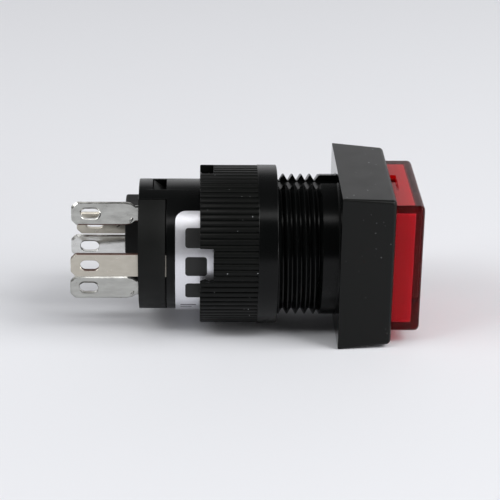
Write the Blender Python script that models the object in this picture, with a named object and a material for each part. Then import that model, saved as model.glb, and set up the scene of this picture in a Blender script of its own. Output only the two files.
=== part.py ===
# Illuminated momentary push switch for a 16 mm panel hole, lying on its side.
# All lengths are metres. In the construction x is measured along the switch axis from the
# panel plane (the back face of the bezel), positive towards the finger. Angles go from +Y to +Z.
import math

import bmesh
import bpy
from mathutils import Matrix, Vector

# Bezel and threaded barrel, one moulding
BEZEL_SIZE = 0.0180
BEZEL_THICKNESS = 0.00593
BEZEL_DRAFT = 0.00039
BEZEL_EDGE_RADIUS = 0.00035
BEZEL_RIM = 0.00125
BEZEL_LEDGE = 0.00103
POCKET_FLOOR = 0.0009
THREAD_DEPTH = 0.00064
THREAD_PITCH = 0.0010
THREAD_START = 0.00198
BARREL_WALL = 0.000855
GUIDE_LENGTH = 0.0037
KEYWAY_WIDTH = 0.0026
KEYWAY_DEPTH = 0.00085

# Locking nut
NUT_FRONT = 0.00676
NUT_LENGTH = 0.0086
NUT_WALL = 0.00086
NUT_COLLAR_LENGTH = 0.00218
NUT_RIDGES = 80
NUT_RIDGE_HEIGHT = 0.00022
NUT_NOTCHES = 4
NUT_NOTCH_WIDTH = 0.0039
NUT_NOTCH_DEPTH = 0.0015
NUT_TURN = math.radians(6.5)

# Lens cap, marking plate and diffuser
CAP_PROUD = 0.00325
CAP_WALL = 0.0009
CAP_EDGE_RADIUS = 0.0004
PLATE_THICKNESS = 0.0006
DIFFUSER_WALL = 0.0009
WINDOW_WIDTH = 0.0040
WINDOW_PROUD = 0.0005

# Button holder, its travel and its spring
TRAVEL = 0.0028
HEAD_THICKNESS = 0.0010
HEAD_INSET = 0.0001
WEB_THICKNESS = 0.0018
SHANK_WALL = 0.00115
HOOK_HEIGHT = 0.00055
HOOK_LENGTH = 0.00125
SHANK_TAIL = 0.0008
SPRING_WIRE = 0.00045
SPRING_TURNS = 6

# Lamp and its socket
LAMP_LENGTH = 0.0042
LAMP_DOME_HEIGHT = 0.0025
LAMP_RIM = 0.0006
LAMP_BASE_INSET = 0.0003
SOCKET_WALL = 0.00055
SOCKET_FLOOR = 0.00075
FLANGE_THICKNESS = 0.0008
LAMP_STRIP_THICKNESS = 0.0002
LAMP_STRIP_WIDTH = 0.0012

# Actuator
RING_LENGTH = 0.0014
LEG_HALF_ANGLE = math.radians(16)
LEG_ANGLE = math.radians(40)
LEG_THICKNESS = 0.0007
FINGER_WIDTH = 0.0008
FINGER_HEIGHT = 0.0015
FINGER_SPINE = 0.0009

# Contact housing and terminal base
HOUSING_LENGTH = 0.00933
NECK_REACH = 0.0023
HOUSING_CLEARANCE = 0.0007
HOUSING_WALL = 0.00093
NECK_WALL = 0.0008
FRONT_WALL = 0.0009
BASE_THICKNESS = 0.0040
SEGMENT_LENGTH = 0.00298
SEAM_GAP = 0.00015
SEGMENT_HALF_ANGLE = math.radians(64)
LATCH_WIDTH = 0.0032
LATCH_LENGTH = 0.00155
LATCH_FROM_REAR = 0.00153
BOSS_INSET = 0.0001
BOSS_WIDTH = 0.0057
BOSS_OFFSET = 0.00165
BOSS_LENGTH = 0.00162
BOSS_RADIUS = 0.0006

# Terminals
TERMINAL_REACH = 0.00757
TERMINAL_WIDTH = 0.00267
TERMINAL_THICKNESS = 0.0005
TERMINAL_CHAMFER = 0.0005
NECK_WIDTH = 0.0018
NECK_TAPER = 0.0010
TONGUE_WIDTH = 0.0010
LUG_THICKNESS = 0.0001
SLOT_LENGTH = 0.0021
SLOT_WIDTH = 0.0012
SLOT_FROM_TIP = 0.0021
SHANK_STEP = 0.00005
SWITCH_TERMINAL_Y = -0.00208
SWITCH_TERMINAL_INSET = 0.00185
COMMON_TERMINAL_Y = -0.0006

# Contacts
BLADE_LENGTH = 0.0050
BLADE_WIDTH = 0.0022
BLADE_THICKNESS = 0.00025
BLADE_SWING = 0.20
LUG_REACH = 0.00315
LUG_LENGTH = 0.0007
LUG_WIDTH = 0.0010
CONTACT_RADIUS = 0.0008
CONTACT_HEIGHT = 0.00042
CONTACT_FROM_END = 0.0006
ARM_THICKNESS = 0.0003
ARM_WIDTH = 0.0012

# Label
LABEL_FROM_STEP = 0.00022
LABEL_FROM_REAR = 0.0041
LABEL_TOP = math.radians(128.5)
LABEL_BOTTOM = math.radians(310)
LABEL_THICKNESS = 0.00012
LABEL_CORNER = 0.0012
LABEL_END_SHARE = 0.2

# Clearances
SLIDE_GAP = 0.00025
SEAT_GAP = 0.00015
SLOT_GAP = 0.0001
LABEL_GAP = 0.00004
MARGIN = 0.0010

ROUND_SEGMENTS = 48
SMALL_SEGMENTS = 24
RIVET_SEGMENTS = 16
SECTOR_STEPS = 16
SHORT_SECTOR_STEPS = 4
SLOT_END_STEPS = 5
CORNER_STEPS = 3
LAMP_DOME_STEPS = 6
COIL_STEPS = 18
WIRE_SIDES = 6
CLOSED_COIL = 1.1
MERGE_DISTANCE = 1e-7

# Places along the axis, from the finger back to the terminals
cap_front = BEZEL_THICKNESS + CAP_PROUD
head_rear = POCKET_FLOOR + TRAVEL + SLOT_GAP
head_front = head_rear + HEAD_THICKNESS
skirt_rear = head_front + SEAT_GAP
plate_front = cap_front - CAP_WALL - SLOT_GAP
plate_rear = plate_front - PLATE_THICKNESS
diffuser_front = plate_rear - SEAT_GAP
boss_front = diffuser_front - DIFFUSER_WALL - SEAT_GAP
web_rear = head_rear - WEB_THICKNESS
shoulder = POCKET_FLOOR - GUIDE_LENGTH
hook_front = shoulder - SEAT_GAP
hook_rear = hook_front - HOOK_LENGTH
shank_rear = hook_rear - SHANK_TAIL
ring_front = shank_rear - SEAT_GAP
ring_rear = ring_front - RING_LENGTH
wall_front = ring_rear - TRAVEL - 2 * SEAT_GAP
wall_rear = wall_front - FRONT_WALL
flange_rear = wall_front + SEAT_GAP
flange_front = flange_rear + FLANGE_THICKNESS
socket_floor = flange_front + SOCKET_FLOOR
socket_front = web_rear - TRAVEL - SLIDE_GAP
lamp_rear = socket_front + SEAT_GAP
housing_step = wall_rear - NECK_REACH
barrel_rear = housing_step + SLIDE_GAP
rear_face = housing_step - HOUSING_LENGTH
base_front = rear_face + BASE_THICKNESS
segment_front = rear_face + SEGMENT_LENGTH
cutout_front = segment_front + SEAM_GAP
seam_lug = segment_front + (SEAM_GAP - LUG_THICKNESS) / 2
boss_rear = rear_face - BOSS_LENGTH
terminal_tip = rear_face - TERMINAL_REACH
nut_rear = -NUT_FRONT - NUT_LENGTH

# Widths and radii, from the bezel inwards
cap_half = BEZEL_SIZE / 2 - BEZEL_RIM - SLIDE_GAP
thread_radius = BEZEL_SIZE / 2 - BEZEL_LEDGE
thread_root = thread_radius - THREAD_DEPTH
nut_bore = thread_radius + SLOT_GAP
nut_radius = nut_bore + NUT_WALL
counterbore_radius = thread_root - BARREL_WALL
hook_radius = counterbore_radius - SLIDE_GAP
shank_radius = hook_radius - HOOK_HEIGHT
guide_radius = shank_radius + SLIDE_GAP
shank_bore = shank_radius - SHANK_WALL
flange_radius = shank_bore - 2 * SLOT_GAP
spring_radius = flange_radius - SLOT_GAP - SPRING_WIRE / 2
socket_radius = spring_radius - SPRING_WIRE - SLIDE_GAP
socket_bore = socket_radius - SOCKET_WALL
lamp_radius = socket_bore - SLIDE_GAP
lamp_base_radius = lamp_radius - LAMP_BASE_INSET
housing_radius = nut_bore - HOUSING_CLEARANCE
cavity_radius = housing_radius - HOUSING_WALL
base_radius = cavity_radius - SLOT_GAP
neck_radius = counterbore_radius - SEAT_GAP
neck_bore = neck_radius - NECK_WALL

# Heights and sides of the terminals
lamp_terminal_y = base_radius - TERMINAL_THICKNESS / 2
switch_terminal_z = base_radius - SWITCH_TERMINAL_INSET
boss_half = switch_terminal_z - BOSS_INSET

# The solids' frame: origin on the resting surface, under the middle of the overall length
axis_height = BEZEL_SIZE / 2
panel_x = -(cap_front + terminal_tip) / 2


def polar(x, radius, angle):
    return (x, radius * math.cos(angle), radius * math.sin(angle))


def steps_between(first, last, count):
    return [first + (last - first) * i / count for i in range(count + 1)]


def arc(centre, radius, start, end, count):
    return [
        (centre[0] + radius * math.cos(a), centre[1] + radius * math.sin(a))
        for a in steps_between(start, end, count)
    ]


def add_revolved(bm, profile, segments):
    """Turn an (x, radius) outline about the switch axis; ends on the axis stay open there."""
    verts = [bm.verts.new((x, r, 0.0)) for x, r in profile]
    pairs = list(zip(verts, verts[1:] + verts[:1]))
    if profile[0][1] == 0.0 and profile[-1][1] == 0.0:
        pairs.pop()
    edges = [bm.edges.new(pair) for pair in pairs]
    bmesh.ops.spin(
        bm,
        geom=verts + edges,
        cent=(0.0, 0.0, 0.0),
        axis=(1.0, 0.0, 0.0),
        angle=2 * math.pi,
        steps=segments,
        use_merge=True,
    )
    bmesh.ops.remove_doubles(bm, verts=bm.verts, dist=MERGE_DISTANCE)


def add_cylinder(bm, x0, x1, radius, segments):
    angles = steps_between(0.0, 2 * math.pi, segments)[:-1]
    add_loft(bm, [[polar(x, radius, a) for a in angles] for x in (x0, x1)])


def add_loft(bm, rings):
    """Skin a stack of rings with equal point counts and close both ends."""
    rows = [[bm.verts.new(p) for p in ring] for ring in rings]
    count = len(rows[0])
    for low, high in zip(rows, rows[1:]):
        for i in range(count):
            j = (i + 1) % count
            bm.faces.new((low[i], low[j], high[j], high[i]))
    bm.faces.new(rows[0])
    bm.faces.new(rows[-1])


def square_ring(x, half_y, half_z, radius, centre_y=0.0):
    """One rounded rectangle across the axis, starting at its +Y +Z corner."""
    points = []
    for quarter in range(4):
        a = quarter * math.pi / 2
        cy = centre_y + (half_y - radius) * (1 if quarter in (0, 3) else -1)
        cz = (half_z - radius) * (1 if quarter in (0, 1) else -1)
        points += [(x, y, z) for y, z in arc((cy, cz), radius, a, a + math.pi / 2, CORNER_STEPS)]
    return points


def add_box(bm, x, y, z, turn=0.0):
    """A box between (low, high) pairs, turned about the switch axis."""
    size = Vector((x[1] - x[0], y[1] - y[0], z[1] - z[0]))
    middle = Vector(((x[0] + x[1]) / 2, (y[0] + y[1]) / 2, (z[0] + z[1]) / 2))
    matrix = Matrix.Rotation(turn, 4, "X") @ Matrix.Translation(middle) @ Matrix.Diagonal((*size, 1.0))
    bmesh.ops.create_cube(bm, size=1.0, matrix=matrix)


def add_sector(bm, x0, x1, inner, outer, start, end, count):
    """A piece of a ring, between two radii and two angles."""
    angles = steps_between(start, end, count)
    outline = [polar(0, outer, a)[1:] for a in angles]
    outline += [polar(0, inner, a)[1:] for a in reversed(angles)]
    add_loft(bm, [[(x, y, z) for y, z in outline] for x in (x0, x1)])


def add_plate(bm, outlines, place, thickness):
    """Extrude a flat outline with holes; place maps its two coordinates into space."""
    edges = []
    for outline in outlines:
        verts = [bm.verts.new(place(u, v)) for u, v in outline]
        edges += [bm.edges.new(pair) for pair in zip(verts, verts[1:] + verts[:1])]
    filled = bmesh.ops.triangle_fill(bm, use_beauty=True, use_dissolve=False, edges=edges)
    faces = [g for g in filled["geom"] if isinstance(g, bmesh.types.BMFace)]
    extruded = bmesh.ops.extrude_face_region(bm, geom=faces)
    moved = [g for g in extruded["geom"] if isinstance(g, bmesh.types.BMVert)]
    bmesh.ops.translate(bm, verts=moved, vec=thickness)


def make_material(name, colour, roughness, metallic=0.0, transmission=0.0):
    material = bpy.data.materials.new(name)
    material.use_nodes = True
    shader = material.node_tree.nodes["Principled BSDF"]
    shader.inputs["Base Color"].default_value = (*colour, 1.0)
    shader.inputs["Roughness"].default_value = roughness
    shader.inputs["Metallic"].default_value = metallic
    shader.inputs["Transmission Weight"].default_value = transmission
    material.diffuse_color = (*colour, 1.0)
    return material


def make_object(name, bm, material, parent, smooth_angle=35):
    """Close a mesh up, shade it and hang it on its parent."""
    bmesh.ops.remove_doubles(bm, verts=bm.verts, dist=MERGE_DISTANCE)
    bmesh.ops.recalc_face_normals(bm, faces=bm.faces)
    mesh = bpy.data.meshes.new(name)
    bm.to_mesh(mesh)
    bm.free()
    mesh.shade_smooth()
    mesh.set_sharp_from_angle(angle=math.radians(smooth_angle))
    obj = bpy.data.objects.new(name, mesh)
    bpy.context.collection.objects.link(obj)
    obj.parent = parent
    if material:
        mesh.materials.append(material)
    return obj


def combine(target, operation, name, fill):
    """Add a hidden tool body, whose mesh fill() makes, and a Boolean that uses it."""
    bm = bmesh.new()
    fill(bm)
    tool = make_object(name, bm, None, target.parent)
    tool.location = target.location
    tool.rotation_euler = target.rotation_euler
    tool.hide_render = True
    tool.display_type = "WIRE"
    modifier = target.modifiers.new(name, "BOOLEAN")
    modifier.operation = operation
    modifier.solver = "EXACT"
    modifier.object = tool


def make_axis(name, parent, location=(0.0, 0.0, 0.0)):
    empty = bpy.data.objects.new(name, None)
    empty.empty_display_size = MARGIN
    bpy.context.collection.objects.link(empty)
    empty.parent = parent
    empty.location = location
    return empty


def build_bezel_barrel(parent, material):
    half = BEZEL_SIZE / 2
    corner = BEZEL_EDGE_RADIUS
    pocket = cap_half + SLIDE_GAP

    def outer(x, inset=0.0):
        reach = half - BEZEL_DRAFT * x / BEZEL_THICKNESS - inset
        return square_ring(x, reach, reach, corner)

    rings = [square_ring(POCKET_FLOOR, pocket, pocket, CAP_EDGE_RADIUS)]
    rings.append(square_ring(BEZEL_THICKNESS, pocket, pocket, CAP_EDGE_RADIUS))
    for x, inset in reversed(arc((BEZEL_THICKNESS - corner, corner), corner, -math.pi / 2, 0, 2)):
        rings.append(outer(x, inset))
    rings.append(outer(0.0))
    bm = bmesh.new()
    add_loft(bm, rings)
    obj = make_object("bezel_barrel", bm, material, parent)

    def barrel(tool):
        profile = [(POCKET_FLOOR / 2, 0.0), (POCKET_FLOOR / 2, thread_radius)]
        profile.append((-THREAD_START, thread_radius))
        turns = int((-barrel_rear - THREAD_START) / THREAD_PITCH)
        for k in range(turns):
            valley = -THREAD_START - (k + 0.5) * THREAD_PITCH
            profile.append((valley, thread_root))
            profile.append((valley - THREAD_PITCH / 2, thread_radius))
        profile.append((barrel_rear, thread_root))
        profile.append((barrel_rear, 0.0))
        add_revolved(tool, profile, ROUND_SEGMENTS)

    def bore(tool):
        profile = [(POCKET_FLOOR + MARGIN, 0.0), (POCKET_FLOOR + MARGIN, guide_radius)]
        profile += [(shoulder, guide_radius), (shoulder, counterbore_radius)]
        profile += [(barrel_rear - MARGIN, counterbore_radius), (barrel_rear - MARGIN, 0.0)]
        add_revolved(tool, profile, ROUND_SEGMENTS)

    def keyway(tool):
        floor = thread_radius - KEYWAY_DEPTH
        side = (-KEYWAY_WIDTH / 2, KEYWAY_WIDTH / 2)
        add_box(tool, (barrel_rear - MARGIN, 0.0), side, (floor, thread_radius + MARGIN))

    combine(obj, "UNION", "barrel_blank", barrel)
    combine(obj, "DIFFERENCE", "barrel_bore", bore)
    combine(obj, "DIFFERENCE", "keyway_cutter", keyway)
    return obj


def build_locking_nut(parent, material):
    front = -NUT_FRONT
    collar_rear = front - NUT_COLLAR_LENGTH
    root = nut_radius - NUT_RIDGE_HEIGHT
    pitch = 2 * math.pi / NUT_RIDGES
    outline = []
    for k in range(NUT_RIDGES):
        middle = NUT_TURN + k * pitch
        outline.append((root, middle - pitch / 2))
        outline.append((nut_radius, middle - pitch / 4))
        outline.append((nut_radius, middle + pitch / 4))
    bm = bmesh.new()
    ends = (nut_rear, collar_rear + NUT_COLLAR_LENGTH / 2)
    add_loft(bm, [[polar(x, r, a) for r, a in outline] for x in ends])
    obj = make_object("locking_nut", bm, material, parent, smooth_angle=20)

    def collar(tool):
        edge = BEZEL_EDGE_RADIUS
        profile = [(collar_rear, 0.0), (collar_rear, nut_radius + SLOT_GAP / 2)]
        profile += [(front - edge, nut_radius + SLOT_GAP / 2), (front, nut_radius - edge), (front, 0.0)]
        add_revolved(tool, profile, ROUND_SEGMENTS)

    def bore(tool):
        chamfer = NUT_RIDGE_HEIGHT
        profile = [(front + MARGIN, 0.0), (front + MARGIN, nut_bore + chamfer)]
        profile += [(front, nut_bore + chamfer), (front - chamfer, nut_bore)]
        profile += [(nut_rear - MARGIN, nut_bore), (nut_rear - MARGIN, 0.0)]
        add_revolved(tool, profile, ROUND_SEGMENTS)

    def notches(tool):
        for k in range(NUT_NOTCHES):
            turn = math.pi - NUT_TURN + k * 2 * math.pi / NUT_NOTCHES
            side = (-NUT_NOTCH_WIDTH / 2, NUT_NOTCH_WIDTH / 2)
            depth = (nut_rear - MARGIN, nut_rear + NUT_NOTCH_DEPTH)
            add_box(tool, depth, (nut_bore - MARGIN, nut_radius + MARGIN), side, turn)

    combine(obj, "UNION", "nut_collar", collar)
    combine(obj, "DIFFERENCE", "nut_bore", bore)
    combine(obj, "DIFFERENCE", "nut_notches", notches)
    return obj


def build_lens_cap(parent, material):
    half = cap_half
    inner = half - CAP_WALL
    edge = CAP_EDGE_RADIUS
    rings = [square_ring(cap_front - CAP_WALL, inner, inner, edge / 2)]
    rings.append(square_ring(skirt_rear, inner, inner, edge / 2))
    rings.append(square_ring(skirt_rear, half, half, edge))
    for x, inset in arc((cap_front - edge, edge), edge, -math.pi / 2, 0, CORNER_STEPS):
        reach = half - inset
        rings.append(square_ring(x, reach, reach, max(edge - inset, edge / 4)))
    bm = bmesh.new()
    add_loft(bm, rings)
    return make_object("lens_cap", bm, material, parent)


def build_marking_plate(parent, material):
    half = cap_half - CAP_WALL - SLOT_GAP
    bm = bmesh.new()
    add_loft(bm, [square_ring(x, half, half, CAP_EDGE_RADIUS / 2) for x in (plate_rear, plate_front)])
    return make_object("marking_plate", bm, material, parent)


def build_diffuser(parent, material):
    half = cap_half - CAP_WALL - SLOT_GAP
    inner = half - DIFFUSER_WALL
    edge = CAP_EDGE_RADIUS / 2
    rings = [square_ring(diffuser_front - DIFFUSER_WALL, inner, inner, edge)]
    rings.append(square_ring(skirt_rear, inner, inner, edge))
    rings.append(square_ring(skirt_rear, half, half, edge))
    rings.append(square_ring(diffuser_front, half, half, edge))
    bm = bmesh.new()
    add_loft(bm, rings)
    obj = make_object("diffuser", bm, material, parent)

    def window(tool):
        long = (skirt_rear - MARGIN, BEZEL_THICKNESS + WINDOW_PROUD)
        side = (-WINDOW_WIDTH / 2, WINDOW_WIDTH / 2)
        add_box(tool, long, side, (inner - MARGIN / 2, half + MARGIN))

    combine(obj, "DIFFERENCE", "diffuser_window", window)
    return obj


def build_button_holder(parent, material):
    head = cap_half - HEAD_INSET
    boss = cap_half - CAP_WALL - DIFFUSER_WALL - SLOT_GAP - SEAT_GAP
    edge = CAP_EDGE_RADIUS
    rings = [square_ring(head_rear, head, head, edge), square_ring(head_front, head, head, edge)]
    rings += [square_ring(head_front, boss, boss, edge), square_ring(boss_front, boss, boss, edge)]
    bm = bmesh.new()
    add_loft(bm, rings)
    obj = make_object("button_holder", bm, material, parent)

    def shank(tool):
        middle = head_rear + HEAD_THICKNESS / 2
        add_cylinder(tool, shank_rear, middle, shank_radius, ROUND_SEGMENTS)

    def hooks(tool):
        for side in (1, 3):
            middle = side * math.pi / 2
            spread = (middle - LEG_HALF_ANGLE, middle + LEG_HALF_ANGLE)
            depth = (shank_bore + SHANK_WALL / 2, hook_radius)
            add_sector(tool, hook_rear, hook_front, *depth, *spread, SHORT_SECTOR_STEPS)

    def latch(tool):
        nub = (skirt_rear + SLOT_GAP, BEZEL_THICKNESS + WINDOW_PROUD - SEAT_GAP)
        side = (-WINDOW_WIDTH / 2 + SEAT_GAP, WINDOW_WIDTH / 2 - SEAT_GAP)
        add_box(tool, nub, side, (boss - MARGIN / 2, boss + DIFFUSER_WALL / 2))

    def lamp_room(tool):
        hole = socket_radius + SEAT_GAP
        mouth = boss - HEAD_THICKNESS / 2
        profile = [(shank_rear - MARGIN, 0.0), (shank_rear - MARGIN, shank_bore), (web_rear, shank_bore)]
        profile += [(web_rear, hole), (head_rear, hole), (boss_front, mouth)]
        profile += [(boss_front + MARGIN, mouth), (boss_front + MARGIN, 0.0)]
        add_revolved(tool, profile, ROUND_SEGMENTS)

    combine(obj, "UNION", "holder_shank", shank)
    combine(obj, "UNION", "holder_hooks", hooks)
    combine(obj, "UNION", "holder_latch", latch)
    combine(obj, "DIFFERENCE", "holder_lamp_room", lamp_room)
    return obj


def build_return_spring(parent, material):
    """Round wire wound round the lamp socket, with one closed coil at each end."""
    low = flange_front + SLOT_GAP + SPRING_WIRE / 2
    high = web_rear - SLOT_GAP - SPRING_WIRE / 2
    closed = SPRING_WIRE * CLOSED_COIL
    open_turns = SPRING_TURNS - 2
    open_pitch = (high - low - 2 * closed) / open_turns

    def along(turn):
        x = low + closed * min(turn, 1.0)
        x += open_pitch * min(max(turn - 1.0, 0.0), open_turns)
        return x + closed * max(turn - 1.0 - open_turns, 0.0)

    rings = []
    for i in range(SPRING_TURNS * COIL_STEPS + 1):
        turn = i / COIL_STEPS
        centre = Vector(polar(along(turn), spring_radius, turn * 2 * math.pi))
        outward = Vector(polar(0.0, 1.0, turn * 2 * math.pi))
        ring = []
        for k in range(WIRE_SIDES):
            a = 2 * math.pi * k / WIRE_SIDES
            offset = outward * math.cos(a) + Vector((1.0, 0.0, 0.0)) * math.sin(a)
            ring.append(centre + offset * SPRING_WIRE / 2)
        rings.append(ring)
    bm = bmesh.new()
    add_loft(bm, rings)
    return make_object("return_spring", bm, material, parent, smooth_angle=70)


def build_lamp_socket(parent, material):
    profile = [(flange_rear, 0.0), (flange_rear, flange_radius), (flange_front, flange_radius)]
    profile += [(flange_front, socket_radius), (socket_front, socket_radius)]
    profile += [(socket_front, socket_bore), (socket_floor, socket_bore), (socket_floor, 0.0)]
    bm = bmesh.new()
    add_revolved(bm, profile, SMALL_SEGMENTS)
    obj = make_object("lamp_socket", bm, material, parent)
    slots = cut_strip_slots(flange_rear - MARGIN, socket_floor + MARGIN / 2)
    combine(obj, "DIFFERENCE", "socket_slots", slots)
    return obj


def strip_inset():
    return lamp_base_radius + SEAT_GAP + LAMP_STRIP_THICKNESS / 2


def cut_strip_slots(x0, x1):
    """Slots on both sides of the axis for the two lamp strips."""
    reach = LAMP_STRIP_THICKNESS / 2 + SLOT_GAP
    height = LAMP_STRIP_WIDTH / 2 + SLOT_GAP

    def slots(tool):
        for side in (-1, 1):
            y = sorted((side * (strip_inset() - reach), side * (strip_inset() + reach)))
            add_box(tool, (x0, x1), y, (-height, height))

    return slots


def build_led_bulb(parent, material):
    rim = lamp_rear + LAMP_RIM
    dome = lamp_rear + LAMP_LENGTH - LAMP_DOME_HEIGHT
    profile = [(lamp_rear, 0.0), (lamp_rear, socket_radius - SLOT_GAP), (rim, socket_radius - SLOT_GAP)]
    profile.append((rim, lamp_radius))
    quarter = steps_between(math.pi / 2, 0.0, LAMP_DOME_STEPS)[:-1]
    profile += [(dome + LAMP_DOME_HEIGHT * math.cos(a), lamp_radius * math.sin(a)) for a in quarter]
    profile.append((dome + LAMP_DOME_HEIGHT, 0.0))
    bm = bmesh.new()
    add_revolved(bm, profile, SMALL_SEGMENTS)
    return make_object("led_bulb", bm, material, parent)


def build_lamp_base(parent, material):
    bm = bmesh.new()
    add_cylinder(bm, socket_floor + SEAT_GAP, lamp_rear - SLOT_GAP, lamp_base_radius, SMALL_SEGMENTS)
    return make_object("lamp_base", bm, material, parent)


def build_lamp_contacts(parent, material):
    """Two bent strips that carry the lamp terminals' current to the sides of the lamp base."""
    half = LAMP_STRIP_THICKNESS / 2
    outer = lamp_terminal_y - TERMINAL_THICKNESS
    route = [(base_front + SEAT_GAP, outer), (housing_step - MARGIN, outer)]
    route += [(wall_rear - MARGIN, strip_inset()), (lamp_rear - LAMP_RIM - MARGIN, strip_inset())]
    slope = math.atan2(route[2][1] - route[1][1], route[2][0] - route[1][0])
    miter = half * math.tan(slope / 2)
    above = [(x - shift, y + half) for (x, y), shift in zip(route, (0, miter, miter, 0))]
    below = [(x + shift, y - half) for (x, y), shift in zip(route, (0, miter, miter, 0))]
    for name, side in (("lamp_contact_near", -1), ("lamp_contact_far", 1)):
        bm = bmesh.new()
        width = Vector((0.0, 0.0, LAMP_STRIP_WIDTH))

        def place(x, y, side=side):
            return (x, side * y, -LAMP_STRIP_WIDTH / 2)

        add_plate(bm, [above + below[::-1]], place, width)
        make_object(name, bm, material, parent)


def build_contact_housing(parent, material):
    chamfer = 2 * SLOT_GAP
    profile = [(wall_front, 0.0), (wall_front, neck_radius), (housing_step, neck_radius)]
    profile += [(housing_step, housing_radius - chamfer), (housing_step - chamfer, housing_radius)]
    profile += [(rear_face + chamfer, housing_radius), (rear_face, housing_radius - chamfer)]
    profile += [(rear_face, cavity_radius), (housing_step - NECK_WALL, cavity_radius)]
    profile += [(housing_step - NECK_WALL, neck_bore), (wall_rear, neck_bore), (wall_rear, 0.0)]
    bm = bmesh.new()
    add_revolved(bm, profile, ROUND_SEGMENTS)
    obj = make_object("contact_housing", bm, material, parent)
    lean = SEAM_GAP / housing_radius

    def side_cutouts(tool):
        for middle in (0.0, math.pi):
            spread = (middle - SEGMENT_HALF_ANGLE - lean, middle + SEGMENT_HALF_ANGLE + lean)
            x = (rear_face - MARGIN, cutout_front)
            add_sector(tool, *x, cavity_radius - MARGIN, housing_radius + MARGIN, *spread, SECTOR_STEPS)

    def latch_windows(tool):
        x0 = rear_face + LATCH_FROM_REAR
        side = (-LATCH_WIDTH / 2, LATCH_WIDTH / 2)
        for turn in (0.0, math.pi):
            span = (cavity_radius - MARGIN, housing_radius + MARGIN)
            add_box(tool, (x0, x0 + LATCH_LENGTH), side, span, turn)

    def leg_windows(tool):
        gap = 2 * lean
        for turn in (LEG_ANGLE, LEG_ANGLE + math.pi):
            spread = (turn - LEG_HALF_ANGLE - gap, turn + LEG_HALF_ANGLE + gap)
            inner = leg_inner() - SEAT_GAP
            outer = leg_inner() + LEG_THICKNESS + SEAT_GAP
            through = (wall_rear - MARGIN, wall_front + MARGIN)
            add_sector(tool, *through, inner, outer, *spread, SHORT_SECTOR_STEPS)

    combine(obj, "DIFFERENCE", "side_cutouts", side_cutouts)
    combine(obj, "DIFFERENCE", "latch_windows", latch_windows)
    combine(obj, "DIFFERENCE", "leg_windows", leg_windows)
    combine(obj, "DIFFERENCE", "strip_windows", cut_strip_slots(wall_rear - MARGIN, wall_front + MARGIN))
    return obj


def leg_inner():
    return neck_bore - LEG_THICKNESS - SEAT_GAP - SLOT_GAP


def build_actuator(parent, material):
    """A ring behind the shank, two legs through the housing and a sloping finger on one leg."""
    inner = leg_inner()
    outer = inner + LEG_THICKNESS
    bm = bmesh.new()
    profile = [(ring_rear, inner), (ring_front, inner)]
    profile += [(ring_front, hook_radius), (ring_rear, hook_radius)]
    add_revolved(bm, profile, ROUND_SEGMENTS)
    obj = make_object("actuator", bm, material, parent)
    arm_rear = wall_rear - TRAVEL / 2
    arm_front = arm_rear + RING_LENGTH / 2
    spine = top_of_finger() - FINGER_SPINE

    def legs(tool):
        reach = ring_front - RING_LENGTH / 2
        for turn in (LEG_ANGLE, LEG_ANGLE + math.pi):
            spread = (turn - LEG_HALF_ANGLE, turn + LEG_HALF_ANGLE)
            add_sector(tool, arm_rear, reach, inner, outer, *spread, SHORT_SECTOR_STEPS)

    y0 = finger_inner()
    y1 = y0 + FINGER_WIDTH
    top = top_of_finger()

    def arm(tool):
        leg_middle = polar(0.0, inner + LEG_THICKNESS / 2, LEG_ANGLE)
        across = (y0 + FINGER_WIDTH / 2, leg_middle[1])
        add_box(tool, (arm_rear, arm_front), across, (spine, leg_middle[2]))

    def finger(tool):
        slope = BLADE_SWING * LUG_REACH / TRAVEL
        contact_x = blade_pivot() + LUG_REACH
        clear = blade_lift(LUG_REACH) + BLADE_THICKNESS / 2 + SEAT_GAP
        rear = contact_x - LUG_LENGTH
        front = arm_front + SEAT_GAP
        outline = [(x, clear - slope * (x - contact_x)) for x in (rear, front)]
        outline += [(front, top), (rear, top)]
        add_plate(tool, [outline], lambda x, z: (x, y0, z), Vector((0.0, y1 - y0, 0.0)))

    combine(obj, "UNION", "actuator_legs", legs)
    combine(obj, "UNION", "actuator_arm", arm)
    combine(obj, "UNION", "actuator_finger", finger)
    return obj


def blade_pivot():
    return base_front + 2 * SLIDE_GAP


def blade_lift(reach):
    return reach * math.sin(BLADE_SWING / 2)


def top_of_finger():
    return blade_lift(LUG_REACH) + BLADE_THICKNESS / 2 + SLOT_GAP + FINGER_HEIGHT


def finger_inner():
    return COMMON_TERMINAL_Y + BLADE_WIDTH / 2 + 2 * SLIDE_GAP


def terminal_outline(inner_end, form):
    """Stamped outline along x with its width in z: chamfered tip, then plain, a neck or a tongue."""
    half = TERMINAL_WIDTH / 2
    tip = terminal_tip
    cut = TERMINAL_CHAMFER
    upper = [(tip, half - cut), (tip + cut, half)]
    if form == "neck":
        neck = NECK_WIDTH / 2
        upper += [(rear_face - cut - NECK_TAPER, half), (rear_face - cut, neck), (inner_end, neck)]
    elif form == "tongue":
        shoulder_x = seam_lug + LUG_THICKNESS
        upper += [(shoulder_x, half), (shoulder_x, TONGUE_WIDTH / 2), (inner_end, TONGUE_WIDTH / 2)]
    else:
        upper += [(inner_end, half)]
    return upper + [(x, -z) for x, z in reversed(upper)]


def slot_outline():
    middle = terminal_tip + SLOT_FROM_TIP
    flat = (SLOT_LENGTH - SLOT_WIDTH) / 2
    radius = SLOT_WIDTH / 2
    right = arc((middle + flat, 0.0), radius, -math.pi / 2, math.pi / 2, SLOT_END_STEPS)
    left = arc((middle - flat, 0.0), radius, math.pi / 2, 3 * math.pi / 2, SLOT_END_STEPS)
    return right + left


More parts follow.
